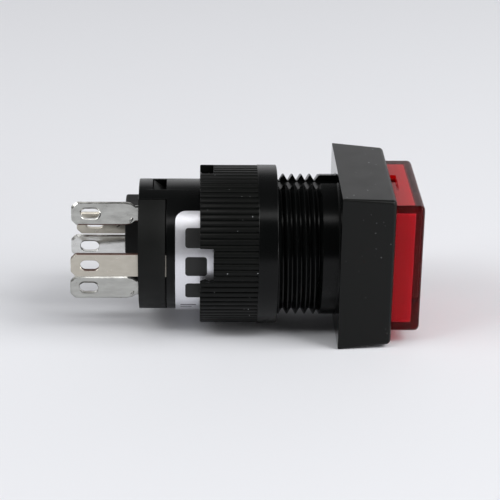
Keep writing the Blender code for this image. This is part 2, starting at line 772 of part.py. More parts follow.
def build_terminal(name, y, z, inner_end, parent, material, form="plain"):
    """One flat terminal across the base, with its eyelet slot."""

    def place(u, v):
        return (u, y - TERMINAL_THICKNESS / 2, z + v)

    bm = bmesh.new()
    thickness = Vector((0.0, TERMINAL_THICKNESS, 0.0))
    add_plate(bm, [terminal_outline(inner_end, form), slot_outline()], place, thickness)
    return make_object(name, bm, material, parent)


def thin_shank(obj, face, side, start, inner_end):
    """Coin the part inside the base a little thinner, so only the solder tab has the full face."""

    def recess(tool):
        depth = sorted((face - side * SHANK_STEP, face + side * MARGIN))
        add_box(tool, (start - SLOT_GAP, inner_end + MARGIN), depth, (-TERMINAL_WIDTH, TERMINAL_WIDTH))

    combine(obj, "DIFFERENCE", obj.name + "_shank", recess)


def build_lamp_terminals(parent, material):
    """The outer pair; a small lug on each reaches out into the seam between base and housing."""
    for name, side in (("lamp_terminal_near", -1), ("lamp_terminal_far", 1)):
        y = side * lamp_terminal_y
        obj = build_terminal(name, y, 0.0, base_front + SEAT_GAP, parent, material, "tongue")
        face = y + side * TERMINAL_THICKNESS / 2
        thin_shank(obj, face, side, rear_face, base_front + SEAT_GAP)

        def lug(tool, side=side, y=y):
            reach = sorted((y, side * (base_radius + SEAT_GAP)))
            half = TERMINAL_WIDTH / 2 - SLOT_GAP / 2
            add_box(tool, (seam_lug, seam_lug + LUG_THICKNESS), reach, (-half, half))

        combine(obj, "UNION", name + "_lug", lug)


def build_common_terminal(parent, material):
    inner_end = blade_pivot() - SLIDE_GAP
    obj = build_terminal("common_terminal", COMMON_TERMINAL_Y, 0.0, inner_end, parent, material)
    face = COMMON_TERMINAL_Y - TERMINAL_THICKNESS / 2
    thin_shank(obj, face, -1, boss_rear, inner_end)


def contact_face():
    """Height of the fixed contacts' faces above the blade's middle plane."""
    reach = BLADE_LENGTH - CONTACT_FROM_END
    return blade_lift(reach) + BLADE_THICKNESS / 2 + CONTACT_HEIGHT + SLOT_GAP


def contact_x():
    return blade_pivot() + BLADE_LENGTH - CONTACT_FROM_END


def build_switch_terminals(parent, material):
    """The two fixed-contact terminals, each with an arm that carries its contact over the blade."""
    plate_y = (SWITCH_TERMINAL_Y - TERMINAL_THICKNESS / 2, SWITCH_TERMINAL_Y + TERMINAL_THICKNESS / 2)
    seat = contact_face() + CONTACT_HEIGHT + SLOT_GAP / 2
    arm_x = (contact_x() - CONTACT_RADIUS - SLOT_GAP, contact_x() + CONTACT_RADIUS + SLOT_GAP)
    arm_top = math.sqrt((neck_bore - SEAT_GAP) ** 2 - plate_y[0] ** 2)
    for name, side in (("normally_closed_terminal", 1), ("normally_open_terminal", -1)):
        z = side * switch_terminal_z
        obj = build_terminal(name, SWITCH_TERMINAL_Y, z, base_front, parent, material, "neck")

        def arm(tool, side=side):
            riser = sorted((side * (arm_top - ARM_WIDTH), side * arm_top))
            add_box(tool, (base_front - MARGIN, arm_x[1]), plate_y, riser)

        def drop(tool, side=side, z=z):
            height = sorted((side * seat, z))
            add_box(tool, arm_x, (plate_y[0], plate_y[1] - SLOT_GAP / 2), height)

        def shelf(tool, side=side):
            height = sorted((side * seat, side * (seat + ARM_THICKNESS)))
            reach = COMMON_TERMINAL_Y + CONTACT_RADIUS + SLOT_GAP
            x = (arm_x[0] + SLOT_GAP / 2, arm_x[1] - SLOT_GAP / 2)
            add_box(tool, x, (plate_y[0] + SLOT_GAP / 2, reach), height)

        combine(obj, "UNION", name + "_arm", arm)
        combine(obj, "UNION", name + "_drop", drop)
        combine(obj, "UNION", name + "_shelf", shelf)


def build_fixed_contacts(parent, material):
    for name, side in (("normally_closed_contact", 1), ("normally_open_contact", -1)):
        face = side * contact_face()
        bm = bmesh.new()
        ring = arc((contact_x(), COMMON_TERMINAL_Y), CONTACT_RADIUS, 0, 2 * math.pi, RIVET_SEGMENTS)[:-1]
        tall = face + side * (CONTACT_HEIGHT - SLOT_GAP / 2)
        add_loft(bm, [[(x, y, z) for x, y in ring] for z in (face, tall)])
        make_object(name, bm, material, parent)


def build_moving_contact(pivot, blade_material, contact_material):
    """The blade and its double-faced rivet turn about the inner end of the common terminal."""
    half = BLADE_WIDTH / 2
    lug = (LUG_REACH - LUG_LENGTH / 2, LUG_REACH + LUG_LENGTH / 2)
    eye_x = BLADE_LENGTH - CONTACT_FROM_END
    eye = arc((eye_x, 0.0), CONTACT_RADIUS / 2, 0, 2 * math.pi, RIVET_SEGMENTS)[:-1]
    end = CONTACT_FROM_END / 2
    outline = [(0.0, -half), (BLADE_LENGTH - end, -half), (BLADE_LENGTH, -half + end)]
    outline += [(BLADE_LENGTH, half - end), (BLADE_LENGTH - end, half)]
    outline += [(lug[1], half), (lug[1], half + LUG_WIDTH), (lug[0], half + LUG_WIDTH), (lug[0], half)]
    outline.append((0.0, half))
    bm = bmesh.new()
    thickness = Vector((0.0, 0.0, BLADE_THICKNESS))
    add_plate(bm, [outline, eye], lambda x, y: (x, y, -BLADE_THICKNESS / 2), thickness)
    blade = make_object("moving_blade", bm, blade_material, pivot)
    neck = CONTACT_RADIUS / 2 - SLOT_GAP / 2
    seat = BLADE_THICKNESS / 2 + SLOT_GAP / 2
    face = BLADE_THICKNESS / 2 + CONTACT_HEIGHT
    profile = [(-face, CONTACT_RADIUS), (-seat, CONTACT_RADIUS), (-seat, neck), (seat, neck)]
    profile += [(seat, CONTACT_RADIUS), (face, CONTACT_RADIUS)]
    rings = []
    for z, r in profile:
        circle = arc((eye_x, 0.0), r, 0, 2 * math.pi, RIVET_SEGMENTS)[:-1]
        rings.append([(x, y, z) for x, y in circle])
    bm = bmesh.new()
    add_loft(bm, rings)
    rivet = make_object("moving_contact", bm, contact_material, pivot)
    for piece in (blade, rivet):
        piece.rotation_euler = (0.0, -BLADE_SWING / 2, 0.0)


def build_terminal_base(parent, material):
    bm = bmesh.new()
    add_cylinder(bm, rear_face, base_front, base_radius, ROUND_SEGMENTS)
    obj = make_object("terminal_base", bm, material, parent)
    half = (TERMINAL_THICKNESS / 2 + SLOT_GAP, TERMINAL_WIDTH / 2 + SLOT_GAP)

    def segments(tool):
        for middle in (0.0, math.pi):
            spread = (middle - SEGMENT_HALF_ANGLE, middle + SEGMENT_HALF_ANGLE)
            x = (rear_face, segment_front)
            add_sector(tool, *x, base_radius - MARGIN, housing_radius, *spread, SECTOR_STEPS)

    def boss(tool):
        reach = (BOSS_WIDTH / 2, boss_half)
        ends = (boss_rear, rear_face + MARGIN)
        add_loft(tool, [square_ring(x, *reach, BOSS_RADIUS, BOSS_OFFSET) for x in ends])

    def latches(tool):
        x1 = rear_face + LATCH_FROM_REAR + LATCH_LENGTH - SLOT_GAP
        x0 = rear_face + LATCH_FROM_REAR + SLOT_GAP
        top = housing_radius - SLIDE_GAP
        root = base_radius - MARGIN / 2
        wide = LATCH_WIDTH / 2 - SLIDE_GAP
        for side in (1, -1):
            profile = [(x0, root), (x0, top), (x0 + SLOT_GAP, top)]
            profile += [(x1, base_radius - SLOT_GAP), (x1, root)]
            outline = [(x, side * r) for x, r in profile]
            add_plate(tool, [outline], lambda x, z: (x, -wide, z), Vector((0.0, 2 * wide, 0.0)))

    def terminal_slots(tool):
        through = (boss_rear - MARGIN, base_front + MARGIN)
        places = [(lamp_terminal_y, 0.0), (-lamp_terminal_y, 0.0), (COMMON_TERMINAL_Y, 0.0)]
        places += [(SWITCH_TERMINAL_Y, switch_terminal_z), (SWITCH_TERMINAL_Y, -switch_terminal_z)]
        for y, z in places:
            add_box(tool, through, (y - half[0], y + half[0]), (z - half[1], z + half[1]))

    combine(obj, "UNION", "base_segments", segments)
    combine(obj, "UNION", "base_boss", boss)
    combine(obj, "UNION", "base_latches", latches)
    combine(obj, "DIFFERENCE", "terminal_slots", terminal_slots)
    return obj


def facet_radius(radius, angle):
    """Distance to a side of the housing's own polygon, so that the label lies flat on it."""
    side = 2 * math.pi / ROUND_SEGMENTS
    middle = (math.floor(angle / side) + 0.5) * side
    return radius * math.cos(side / 2) / math.cos(angle - middle)


def build_rating_label(parent, material):
    """A blank sticker bent round the housing, with rounded corners."""
    low = rear_face + LABEL_FROM_REAR
    high = housing_step - LABEL_FROM_STEP
    inner = housing_radius + LABEL_GAP
    outer = inner + LABEL_THICKNESS
    side = 2 * math.pi / ROUND_SEGMENTS
    spread = LABEL_CORNER / housing_radius
    rounding = [spread * (1 - math.cos(a)) for a in steps_between(0, math.pi / 2, CORNER_STEPS)]
    angles = [LABEL_TOP + turn for turn in rounding] + [LABEL_BOTTOM - turn for turn in rounding]
    first = math.ceil((LABEL_TOP + spread) / side + LABEL_END_SHARE)
    last = math.floor((LABEL_BOTTOM - spread) / side - LABEL_END_SHARE)
    angles += [k * side for k in range(first, last + 1)]
    rows = []
    for a in sorted(angles):
        edge = min(a - LABEL_TOP, LABEL_BOTTOM - a) * housing_radius
        part = max(LABEL_CORNER - edge, 0.0)
        inset = LABEL_CORNER - math.sqrt(LABEL_CORNER**2 - min(part, LABEL_CORNER) ** 2)
        ends = (low + inset, high - inset)
        r0 = facet_radius(inner, a)
        r1 = facet_radius(outer, a)
        corners = ((ends[0], r0), (ends[1], r0), (ends[1], r1), (ends[0], r1))
        rows.append([polar(x, r, a) for x, r in corners])
    bm = bmesh.new()
    add_loft(bm, rows)
    return make_object("rating_label", bm, material, parent)


for old in list(bpy.data.objects):
    bpy.data.objects.remove(old, do_unlink=True)

black_satin = make_material("black_satin_plastic", (0.013, 0.014, 0.013), 0.45)
black_gloss = make_material("black_gloss_plastic", (0.008, 0.008, 0.009), 0.25)
red_clear = make_material("red_clear_plastic", (0.55, 0.01, 0.015), 0.08, transmission=0.9)
milky = make_material("milky_plastic", (0.85, 0.85, 0.82), 0.5)
ivory = make_material("ivory_plastic", (0.75, 0.72, 0.62), 0.5)
spring_steel = make_material("spring_steel", (0.55, 0.55, 0.56), 0.3, metallic=1.0)
tinned = make_material("tinned_brass", (0.62, 0.60, 0.56), 0.35, metallic=1.0)
bronze = make_material("phosphor_bronze", (0.62, 0.36, 0.20), 0.35, metallic=1.0)
silver = make_material("silver_contact", (0.80, 0.79, 0.77), 0.3, metallic=1.0)
led_red = make_material("red_led_epoxy", (0.75, 0.03, 0.03), 0.1, transmission=0.5)
label_foil = make_material("silver_label", (0.58, 0.58, 0.60), 0.4)

switch_axis = make_axis("switch_axis", None, (panel_x, 0.0, axis_height))
button_axis = make_axis("button_axis", switch_axis)
nut_axis = make_axis("nut_axis", switch_axis)
blade_axis = make_axis("blade_axis", switch_axis, (blade_pivot(), COMMON_TERMINAL_Y, 0.0))

build_bezel_barrel(switch_axis, black_satin)
build_locking_nut(nut_axis, black_satin)
build_lens_cap(button_axis, red_clear)
build_marking_plate(button_axis, milky)
build_diffuser(button_axis, milky)
build_button_holder(button_axis, black_gloss)
build_actuator(button_axis, ivory)
build_return_spring(switch_axis, spring_steel)
build_lamp_socket(switch_axis, black_gloss)
build_led_bulb(switch_axis, led_red)
build_lamp_base(switch_axis, ivory)
build_lamp_contacts(switch_axis, bronze)
build_contact_housing(switch_axis, black_gloss)
build_terminal_base(switch_axis, black_satin)
build_lamp_terminals(switch_axis, tinned)
build_common_terminal(switch_axis, tinned)
build_switch_terminals(switch_axis, tinned)
build_fixed_contacts(switch_axis, silver)
build_moving_contact(blade_axis, bronze, silver)
build_rating_label(switch_axis, label_foil)
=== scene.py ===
# Illuminated momentary switch: the looks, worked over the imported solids.
# Shapes are drawn in millimetres along the switch axis, from the panel plane, then set in place.
import math

import bmesh
import bpy
from mathutils import Matrix, Vector


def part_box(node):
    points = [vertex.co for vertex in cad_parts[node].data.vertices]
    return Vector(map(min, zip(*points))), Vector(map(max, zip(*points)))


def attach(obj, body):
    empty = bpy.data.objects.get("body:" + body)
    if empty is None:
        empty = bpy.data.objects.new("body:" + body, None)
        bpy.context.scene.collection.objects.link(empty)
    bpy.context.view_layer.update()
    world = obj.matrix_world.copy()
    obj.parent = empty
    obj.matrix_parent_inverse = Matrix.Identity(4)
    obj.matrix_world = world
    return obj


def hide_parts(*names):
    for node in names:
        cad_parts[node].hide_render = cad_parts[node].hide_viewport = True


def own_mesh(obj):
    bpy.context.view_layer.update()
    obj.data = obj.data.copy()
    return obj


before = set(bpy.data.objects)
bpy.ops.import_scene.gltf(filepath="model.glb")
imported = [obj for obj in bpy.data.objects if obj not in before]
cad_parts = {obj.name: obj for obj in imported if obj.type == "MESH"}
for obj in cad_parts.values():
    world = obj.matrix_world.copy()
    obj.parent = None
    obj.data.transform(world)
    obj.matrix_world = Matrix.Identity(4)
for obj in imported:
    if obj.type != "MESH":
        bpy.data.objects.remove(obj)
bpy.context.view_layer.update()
print("frame loaded:", len(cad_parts), "solids")

mm = 0.001
bezel = {"size": 18.0, "thick": 5.93, "draft": 0.39, "edge": 0.42, "corner": 0.2, "cornerGrow": 0.25,
         "cornerLoss": 0.4, "backEdge": 0.06, "pocketFloor": 0.9, "pocket": 15.5, "pocketCorner": 0.4,
         "lip": 0.12, "backFacing": 0.99}
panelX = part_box("bezel_barrel")[1].x / mm - bezel["thick"]
axisZ = (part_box("locking_nut")[0].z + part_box("locking_nut")[1].z) / 2 / mm


def localBox(node):
    low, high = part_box(node)
    shift = Vector((panelX, 0.0, axisZ))
    return low / mm - shift, high / mm - shift


# Materials

def hexColour(text):
    # sRGB hex to the linear colour that a shader socket wants
    parts = [int(text[i:i + 2], 16) / 255 for i in (0, 2, 4)]
    return tuple(c / 12.92 if c <= 0.04045 else ((c + 0.055) / 1.055) ** 2.4 for c in parts) + (1.0,)


def patternScale(sizeMm):
    # noise and voronoi repeats per metre for a pattern whose grain measures sizeMm
    return 1000.0 / sizeMm


def addNode(tree, kind, settings, links=()):
    node = tree.nodes.new(kind)
    for key, value in settings.items():
        if isinstance(key, str) and hasattr(node, key):
            setattr(node, key, value)
        else:
            node.inputs[key].default_value = value
    for socket, source in links:
        tree.links.new(source, node.inputs[socket])
    return node


def startMaterial(name, surface):
    material = bpy.data.materials.new(name)
    material.use_nodes = True
    shader = material.node_tree.nodes["Principled BSDF"]
    for key, value in surface.items():
        shader.inputs[key].default_value = value
    place = addNode(material.node_tree, "ShaderNodeTexCoord", {}).outputs["Object"]
    return material, material.node_tree, shader, place


def addNoise(tree, place, sizeMm, detail=2.0):
    settings = {"Scale": patternScale(sizeMm), "Detail": detail}
    return addNode(tree, "ShaderNodeTexNoise", settings, [("Vector", place)])


def noiseRange(tree, place, sizeMm, low, high):
    # noise keeps to the middle of its range, and that part is stretched from low to high
    settings = {"From Min": 0.3, "From Max": 0.7, "To Min": low, "To Max": high}
    noise = addNoise(tree, place, sizeMm)
    return addNode(tree, "ShaderNodeMapRange", settings, [("Value", noise.outputs["Fac"])]).outputs["Result"]


def blendColours(tree, factor, low, high):
    # a mix node takes its two colours at sockets 6 and 7 and gives the blend at socket 2
    settings = {"data_type": "RGBA", 6: hexColour(low), 7: hexColour(high)}
    return addNode(tree, "ShaderNodeMix", settings, [(0, factor)]).outputs[2]


def addGrain(tree, shader, place, sizeMm, heightMm, strength=1.0):
    noise = addNoise(tree, place, sizeMm, 3.0)
    bump = addNode(tree, "ShaderNodeBump", {"Strength": strength, "Distance": heightMm * mm},
                   [("Height", noise.outputs["Fac"])])
    tree.links.new(bump.outputs["Normal"], shader.inputs["Normal"])


def addRoughness(tree, shader, place, sizeMm, low, high):
    tree.links.new(noiseRange(tree, place, sizeMm, low, high), shader.inputs["Roughness"])


def addDust(tree, shader, place, base, dust, spacingMm, radiusMm, share):
    # pale lint specks of uneven shape and strength: one to a Voronoi cell, kept in a share of the cells
    grainMm, bendMm, softFrom = 0.25, 0.3, 0.4
    warp = addNoise(tree, place, grainMm)
    bend = addNode(tree, "ShaderNodeVectorMath", {"operation": "SCALE", "Scale": bendMm * mm},
                   [(0, warp.outputs["Color"])])
    moved = addNode(tree, "ShaderNodeVectorMath", {"operation": "ADD"}, [(0, place), (1, bend.outputs[0])])
    cells = addNode(tree, "ShaderNodeTexVoronoi", {"Scale": patternScale(spacingMm)},
                    [("Vector", moved.outputs[0])])
    reach = radiusMm / spacingMm
    fade = {"From Min": reach, "From Max": reach * softFrom, "To Min": 0.0, "To Max": 1.0}
    speck = addNode(tree, "ShaderNodeMapRange", fade, [("Value", cells.outputs["Distance"])])
    pick = addNode(tree, "ShaderNodeSeparateColor", {}, [("Color", cells.outputs["Color"])])
    keep = addNode(tree, "ShaderNodeMath", {"operation": "GREATER_THAN", 1: 1.0 - share},
                   [(0, pick.outputs["Red"])])
    faint = addNode(tree, "ShaderNodeMath", {"operation": "MULTIPLY"},
                    [(0, speck.outputs["Result"]), (1, pick.outputs["Green"])])
    mask = addNode(tree, "ShaderNodeMath", {"operation": "MULTIPLY"},
                   [(0, faint.outputs["Value"]), (1, keep.outputs["Value"])])
    tree.links.new(blendColours(tree, mask.outputs["Value"], base, dust), shader.inputs["Base Color"])


def satinBlackMoulding(name, level, low, high):
    # polyamide from a spark-textured mould: deep black, a broad dull sheen and a little lint
    material, tree, shader, place = startMaterial(name, {"Specular IOR Level": level, "IOR": 1.5})
    addRoughness(tree, shader, place, 2.5, low, high)
    addGrain(tree, shader, place, 0.07, 0.003)
    addDust(tree, shader, place, "0e0f0e", "a9acad", 0.8, 0.075, 0.45)
    return material


def glossBlackMoulding():
    # the same resin from a polished mould: near black with tight highlights
    material, tree, shader, place = startMaterial("gloss_black_polyamide", {
        "Specular IOR Level": 0.15, "IOR": 1.5})
    addRoughness(tree, shader, place, 3.0, 0.20, 0.28)
    addGrain(tree, shader, place, 0.6, 0.003, 0.5)
    addDust(tree, shader, place, "080909", "6c7072", 1.2, 0.05, 0.2)
    return material


def dullBlackMoulding():
    # phenolic terminal base: flat charcoal with fine grain
    material, tree, shader, place = startMaterial("dull_black_phenolic", {
        "Specular IOR Level": 0.15, "IOR": 1.55})
    addRoughness(tree, shader, place, 1.5, 0.5, 0.62)
    addGrain(tree, shader, place, 0.09, 0.005)
    addDust(tree, shader, place, "0f100f", "6a6b6a", 1.0, 0.05, 0.2)
    return material


def polishedBlackFace():
    # the bezel's flat back, from a polished mould face: a pale sheen when seen edge-on
    material, tree, shader, place = startMaterial("polished_black_face", {
        "Specular IOR Level": 0.5, "IOR": 1.5})
    addRoughness(tree, shader, place, 3.0, 0.08, 0.13)
    addDust(tree, shader, place, "0a0b0b", "6c7072", 2.2, 0.045, 0.12)
    return material


def clearRedLens():
    # polycarbonate dyed right through: clear at the wall, nearly black along its thickness
    material, tree, shader, place = startMaterial("clear_red_polycarbonate", {})
    output = tree.nodes["Material Output"]
    tree.nodes.remove(shader)
    rough = noiseRange(tree, place, 4.0, 0.07, 0.11)
    inner = addNode(tree, "ShaderNodeBsdfRefraction", {"IOR": 1.585}, [("Roughness", rough)])
    outer = addNode(tree, "ShaderNodeBsdfAnisotropic", {}, [("Roughness", rough)])
    # a weaker outer gloss than the true index gives, matched to the photo
    weight = addNode(tree, "ShaderNodeFresnel", {"IOR": 1.25})
    glass = addNode(tree, "ShaderNodeMixShader", {},
                    [(0, weight.outputs["Fac"]), (1, inner.outputs[0]), (2, outer.outputs[0])])
    # a little dye haze keeps the thick edges a warm dark red, never black
    haze = addNode(tree, "ShaderNodeBsdfDiffuse", {"Color": hexColour("c84a4e")})
    body = addNode(tree, "ShaderNodeMixShader", {0: 0.04}, [(1, glass.outputs[0]), (2, haze.outputs[0])])
    # light on its way from a lamp passes straight through, so that the lens casts a red shadow
    path = addNode(tree, "ShaderNodeLightPath", {})
    clear = addNode(tree, "ShaderNodeBsdfTransparent", {"Color": (0.7, 0.7, 0.7, 1.0)})
    mix = addNode(tree, "ShaderNodeMixShader", {}, [(0, path.outputs["Is Shadow Ray"]), (1, body.outputs[0]),
                                                    (2, clear.outputs["BSDF"])])
    volume = addNode(tree, "ShaderNodeVolumeAbsorption", {"Color": (0.94, 0.15, 0.33, 1.0), "Density": 3000.0})
    tree.links.new(mix.outputs["Shader"], output.inputs["Surface"])
    tree.links.new(volume.outputs["Volume"], output.inputs["Volume"])
    return material


def milkyPlastic():
    # light-scattering acrylic: off-white, soft, a little light passes into it
    material, tree, shader, place = startMaterial("milky_acrylic", {
        "Base Color": hexColour("c6c4be"), "IOR": 1.49, "Subsurface Weight": 0.05,
        "Subsurface Radius": (mm, mm, mm)})
    addRoughness(tree, shader, place, 2.0, 0.38, 0.5)
    addGrain(tree, shader, place, 0.15, 0.002)
    return material


def naturalAcetal():
    # unfilled acetal: warm ivory, waxy
    material, tree, shader, place = startMaterial("natural_acetal", {
        "Base Color": hexColour("ded8c4"), "IOR": 1.48})
    addRoughness(tree, shader, place, 2.0, 0.35, 0.48)
    addGrain(tree, shader, place, 0.2, 0.003)
    return material


def redEpoxy():
    # cast lamp epoxy: clear, tinted, with a wet gloss
    material, tree, shader, place = startMaterial("tinted_lamp_epoxy", {
        "Base Color": hexColour("d8282c"), "IOR": 1.53, "Transmission Weight": 0.6})
    addRoughness(tree, shader, place, 2.0, 0.05, 0.12)
    return material


def platedMetal(name, light, dark, low, high, streakMm, dentMm=0.0):
    # rolled strip: streaks along the rolling direction, a mottled tone and, where handled, shallow dents
    material, tree, shader, place = startMaterial(name, {"Metallic": 1.0})
    squeeze = addNode(tree, "ShaderNodeMapping", {"Scale": (0.25, 1.0, 1.0)}, [("Vector", place)])
    streak = addNoise(tree, squeeze.outputs["Vector"], streakMm, 4.0)
    tree.links.new(blendColours(tree, streak.outputs["Fac"], dark, light), shader.inputs["Base Color"])
    addRoughness(tree, shader, place, 0.8, low, high)
    bump = addNode(tree, "ShaderNodeBump", {"Strength": 0.2, "Distance": 0.003 * mm},
                   [("Height", streak.outputs["Fac"])])
    if dentMm:
        wave = addNoise(tree, place, 1.3, 1.0)
        bump = addNode(tree, "ShaderNodeBump", {"Distance": dentMm * mm},
                       [("Height", wave.outputs["Fac"]), ("Normal", bump.outputs["Normal"])])
    tree.links.new(bump.outputs["Normal"], shader.inputs["Normal"])
    return material


def silveredLabel():
    # aluminised polyester film under a clear topcoat: pale grey with a satin metallic roll-off
    material, tree, shader, place = startMaterial("silvered_polyester_label", {"Metallic": 0.75, "IOR": 1.5})
    noise = addNoise(tree, place, 0.12)
    tree.links.new(blendColours(tree, noise.outputs["Fac"], "dedee3", "ececf1"), shader.inputs["Base Color"])
    addRoughness(tree, shader, place, 1.0, 0.3, 0.4)
    return material


def labelInk():
    # screen-printed ink: dark, matt, slightly uneven
    material, tree, shader, place = startMaterial("matt_label_ink", {"Specular IOR Level": 0.2})
    noise = addNoise(tree, place, 0.1, 3.0)
    tree.links.new(blendColours(tree, noise.outputs["Fac"], "262626", "343434"), shader.inputs["Base Color"])
    addRoughness(tree, shader, place, 1.0, 0.5, 0.65)
    return material


satinBlack = satinBlackMoulding("satin_black_polyamide", 0.17, 0.31, 0.35)
knurlBlack = satinBlackMoulding("coarse_black_polyamide", 0.11, 0.4, 0.44)
glossBlack = glossBlackMoulding()
polishedBlack = polishedBlackFace()
dullBlack = dullBlackMoulding()
redLens = clearRedLens()
milky = milkyPlastic()
acetal = naturalAcetal()
lampEpoxy = redEpoxy()
# light and dark tones, least and most roughness, then the width of the streaks and the depth of the dents
tinPlate = platedMetal("tin_plated_brass", "c8c8c4", "9f9f9a", 0.18, 0.28, 0.35, 0.06)
# a lighter copy of the tin plate for the common terminal: painted extra reflection, so that blade shows lighter
# than the other tin-plated ones
paintedLighterTinPlate = platedMetal("tin_plate_painted_lighter", "e2e2e0", "c6c6c3", 0.18, 0.28, 0.35, 0.03)
warmPlate = platedMetal("nickel_plated_brass", "cdc8bd", "b9b3a6", 0.26, 0.38, 0.35)
springWire = platedMetal("drawn_spring_wire", "b4b5b8", "8d8f92", 0.22, 0.34, 0.2)
shearedEdge = platedMetal("sheared_copper_edge", "7a5a50", "4c352e", 0.4, 0.55, 0.15)
bronze = platedMetal("phosphor_bronze_strip", "c99a6b", "a97a4e", 0.3, 0.42, 0.3)
silverRivet = platedMetal("silver_rivet_face", "dcdad6", "b9b7b2", 0.25, 0.4, 0.2)
labelFilm = silveredLabel()
ink = labelInk()
print("materials made")


# Shapes

support = 0.12  # an extra row of points this close to an edge keeps the flat beside it flat in shading
past = 1.0  # how far a cutting tool reaches past the material
softenFrom = 38  # an edge that turns by more degrees than this is softened


def polar(x, radius, angle):
    return (x, radius * math.cos(angle), radius * math.sin(angle))


def spread(first, last, count):
    return [first + (last - first) * i / count for i in range(count + 1)]


def arcPoints(centre, radius, start, end, count):
    across, up = centre
    return [(across + radius * math.cos(a), up + radius * math.sin(a)) for a in spread(start, end, count)]


def skin(bm, rings, loop=False):
    # join equal rings of points; a loop has no ends, otherwise both ends are closed
    rows = [[bm.verts.new(p) for p in ring] for ring in rings]
    count = len(rows[0])
    pairs = list(zip(rows, rows[1:] + rows[:1])) if loop else list(zip(rows, rows[1:]))
    for low, high in pairs:
        for i in range(count):
            j = (i + 1) % count
            bm.faces.new((low[i], low[j], high[j], high[i]))
    if not loop:
        bm.faces.new(rows[0])
        bm.faces.new(rows[-1])
    return bm


def turned(profile, segments):
    # a closed (x, radius) outline turned about the axis
    angles = spread(0.0, 2 * math.pi, segments)[:-1]
    return skin(bmesh.new(), [[polar(x, r, a) for a in angles] for x, r in profile], loop=True)


def squareRing(x, halfY, halfZ, radius, cornerSteps, sideSteps, centreY=0.0):
    points = []
    for quarter in range(4):
        a = quarter * math.pi / 2
        cy = centreY + (halfY - radius) * (1 if quarter in (0, 3) else -1)
        cz = (halfZ - radius) * (1 if quarter in (0, 1) else -1)
        points += [(x, y, z) for y, z in arcPoints((cy, cz), radius, a, a + math.pi / 2, cornerSteps)]
        along = (halfY - radius if quarter in (0, 2) else halfZ - radius) * 2
        direction = Vector((0.0, -math.cos(a), -math.sin(a)))
        last = Vector(points[-1])
        steps = [support] + [along * i / sideSteps for i in range(1, sideSteps)] + [along - support]
        points += [tuple(last + direction * step) for step in steps]
    return points


def sector(x0, x1, inner, outer, start, end, count):
    angles = spread(start, end, count)
    outline = [polar(0.0, outer, a)[1:] for a in angles]
    outline += [polar(0.0, inner, a)[1:] for a in reversed(angles)]
    return skin(bmesh.new(), [[(x, y, z) for y, z in outline] for x in (x0, x1)])


def addBox(bm, x, y, z, turn=0.0):
    size = Matrix.Diagonal((x[1] - x[0], y[1] - y[0], z[1] - z[0], 1.0))
    middle = Matrix.Translation(((x[0] + x[1]) / 2, (y[0] + y[1]) / 2, (z[0] + z[1]) / 2))
    bmesh.ops.create_cube(bm, size=1.0, matrix=Matrix.Rotation(turn, 4, "X") @ middle @ size)
    return bm


def makeMesh(name, bm, smoothAngle):
    bmesh.ops.scale(bm, vec=(mm, mm, mm), verts=bm.verts)
    bmesh.ops.translate(bm, vec=(panelX * mm, 0.0, axisZ * mm), verts=bm.verts)
    bmesh.ops.recalc_face_normals(bm, faces=bm.faces)
    mesh = bpy.data.meshes.new(name)
    bm.to_mesh(mesh)
    bm.free()
    mesh.shade_smooth()
    mesh.set_sharp_from_angle(angle=math.radians(smoothAngle))
    return mesh


def makePiece(name, bm, material, body, nodes, smoothAngle, edgeMm=0.0, tools=()):
    obj = bpy.data.objects.new(name, makeMesh(name, bm, smoothAngle))
    bpy.context.collection.objects.link(obj)
    for operation, toolMesh in tools:
        tool = bpy.data.objects.new(name + "_tool", makeMesh(name + "_tool", toolMesh, smoothAngle))
        bpy.context.collection.objects.link(tool)
        change = obj.modifiers.new("cut", "BOOLEAN")
        change.operation = operation
        change.object = tool
        change.solver = "EXACT"
        applyModifiers(obj)
        bpy.data.objects.remove(tool, do_unlink=True)
    if edgeMm:
        soften = obj.modifiers.new("edges", "BEVEL")
        soften.width = edgeMm * mm
        soften.segments = 2
        soften.limit_method = "ANGLE"
        soften.angle_limit = math.radians(softenFrom)
        soften.use_clamp_overlap = True
        applyModifiers(obj)
    obj.data.shade_smooth()
    obj.data.set_sharp_from_angle(angle=math.radians(smoothAngle))
    obj.data.materials.clear()
    obj.data.materials.append(material)
    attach(obj, body)
    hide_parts(*nodes)
    return obj


def applyModifiers(obj):
    bpy.context.view_layer.update()
    depsgraph = bpy.context.evaluated_depsgraph_get()
    mesh = bpy.data.meshes.new_from_object(obj.evaluated_get(depsgraph), depsgraph=depsgraph)
    obj.modifiers.clear()
    obj.data = mesh


# Bezel and threaded barrel

barrel = {"crest": 7.97, "root": 7.33, "pitch": 1.0, "shoulder": 1.98, "length": 12.6, "guide": 5.925,
          "counterbore": 6.475, "guideEnd": -2.8, "keyWidth": 2.6, "keyDepth": 0.85, "fillet": 0.12,
          "slopeFront": 0.16, "slopeRear": 0.22, "endChamfer": 0.15,
          "crestHalf": 0.055, "rootHalf": 0.43, "firstCrest": 67.4, "ridgeSteps": 96, "leadIn": 12,
          "growSteps": 36, "grow": 0.05, "sunk": 0.04, "runOut": 0.7, "glossFrom": 0.01}


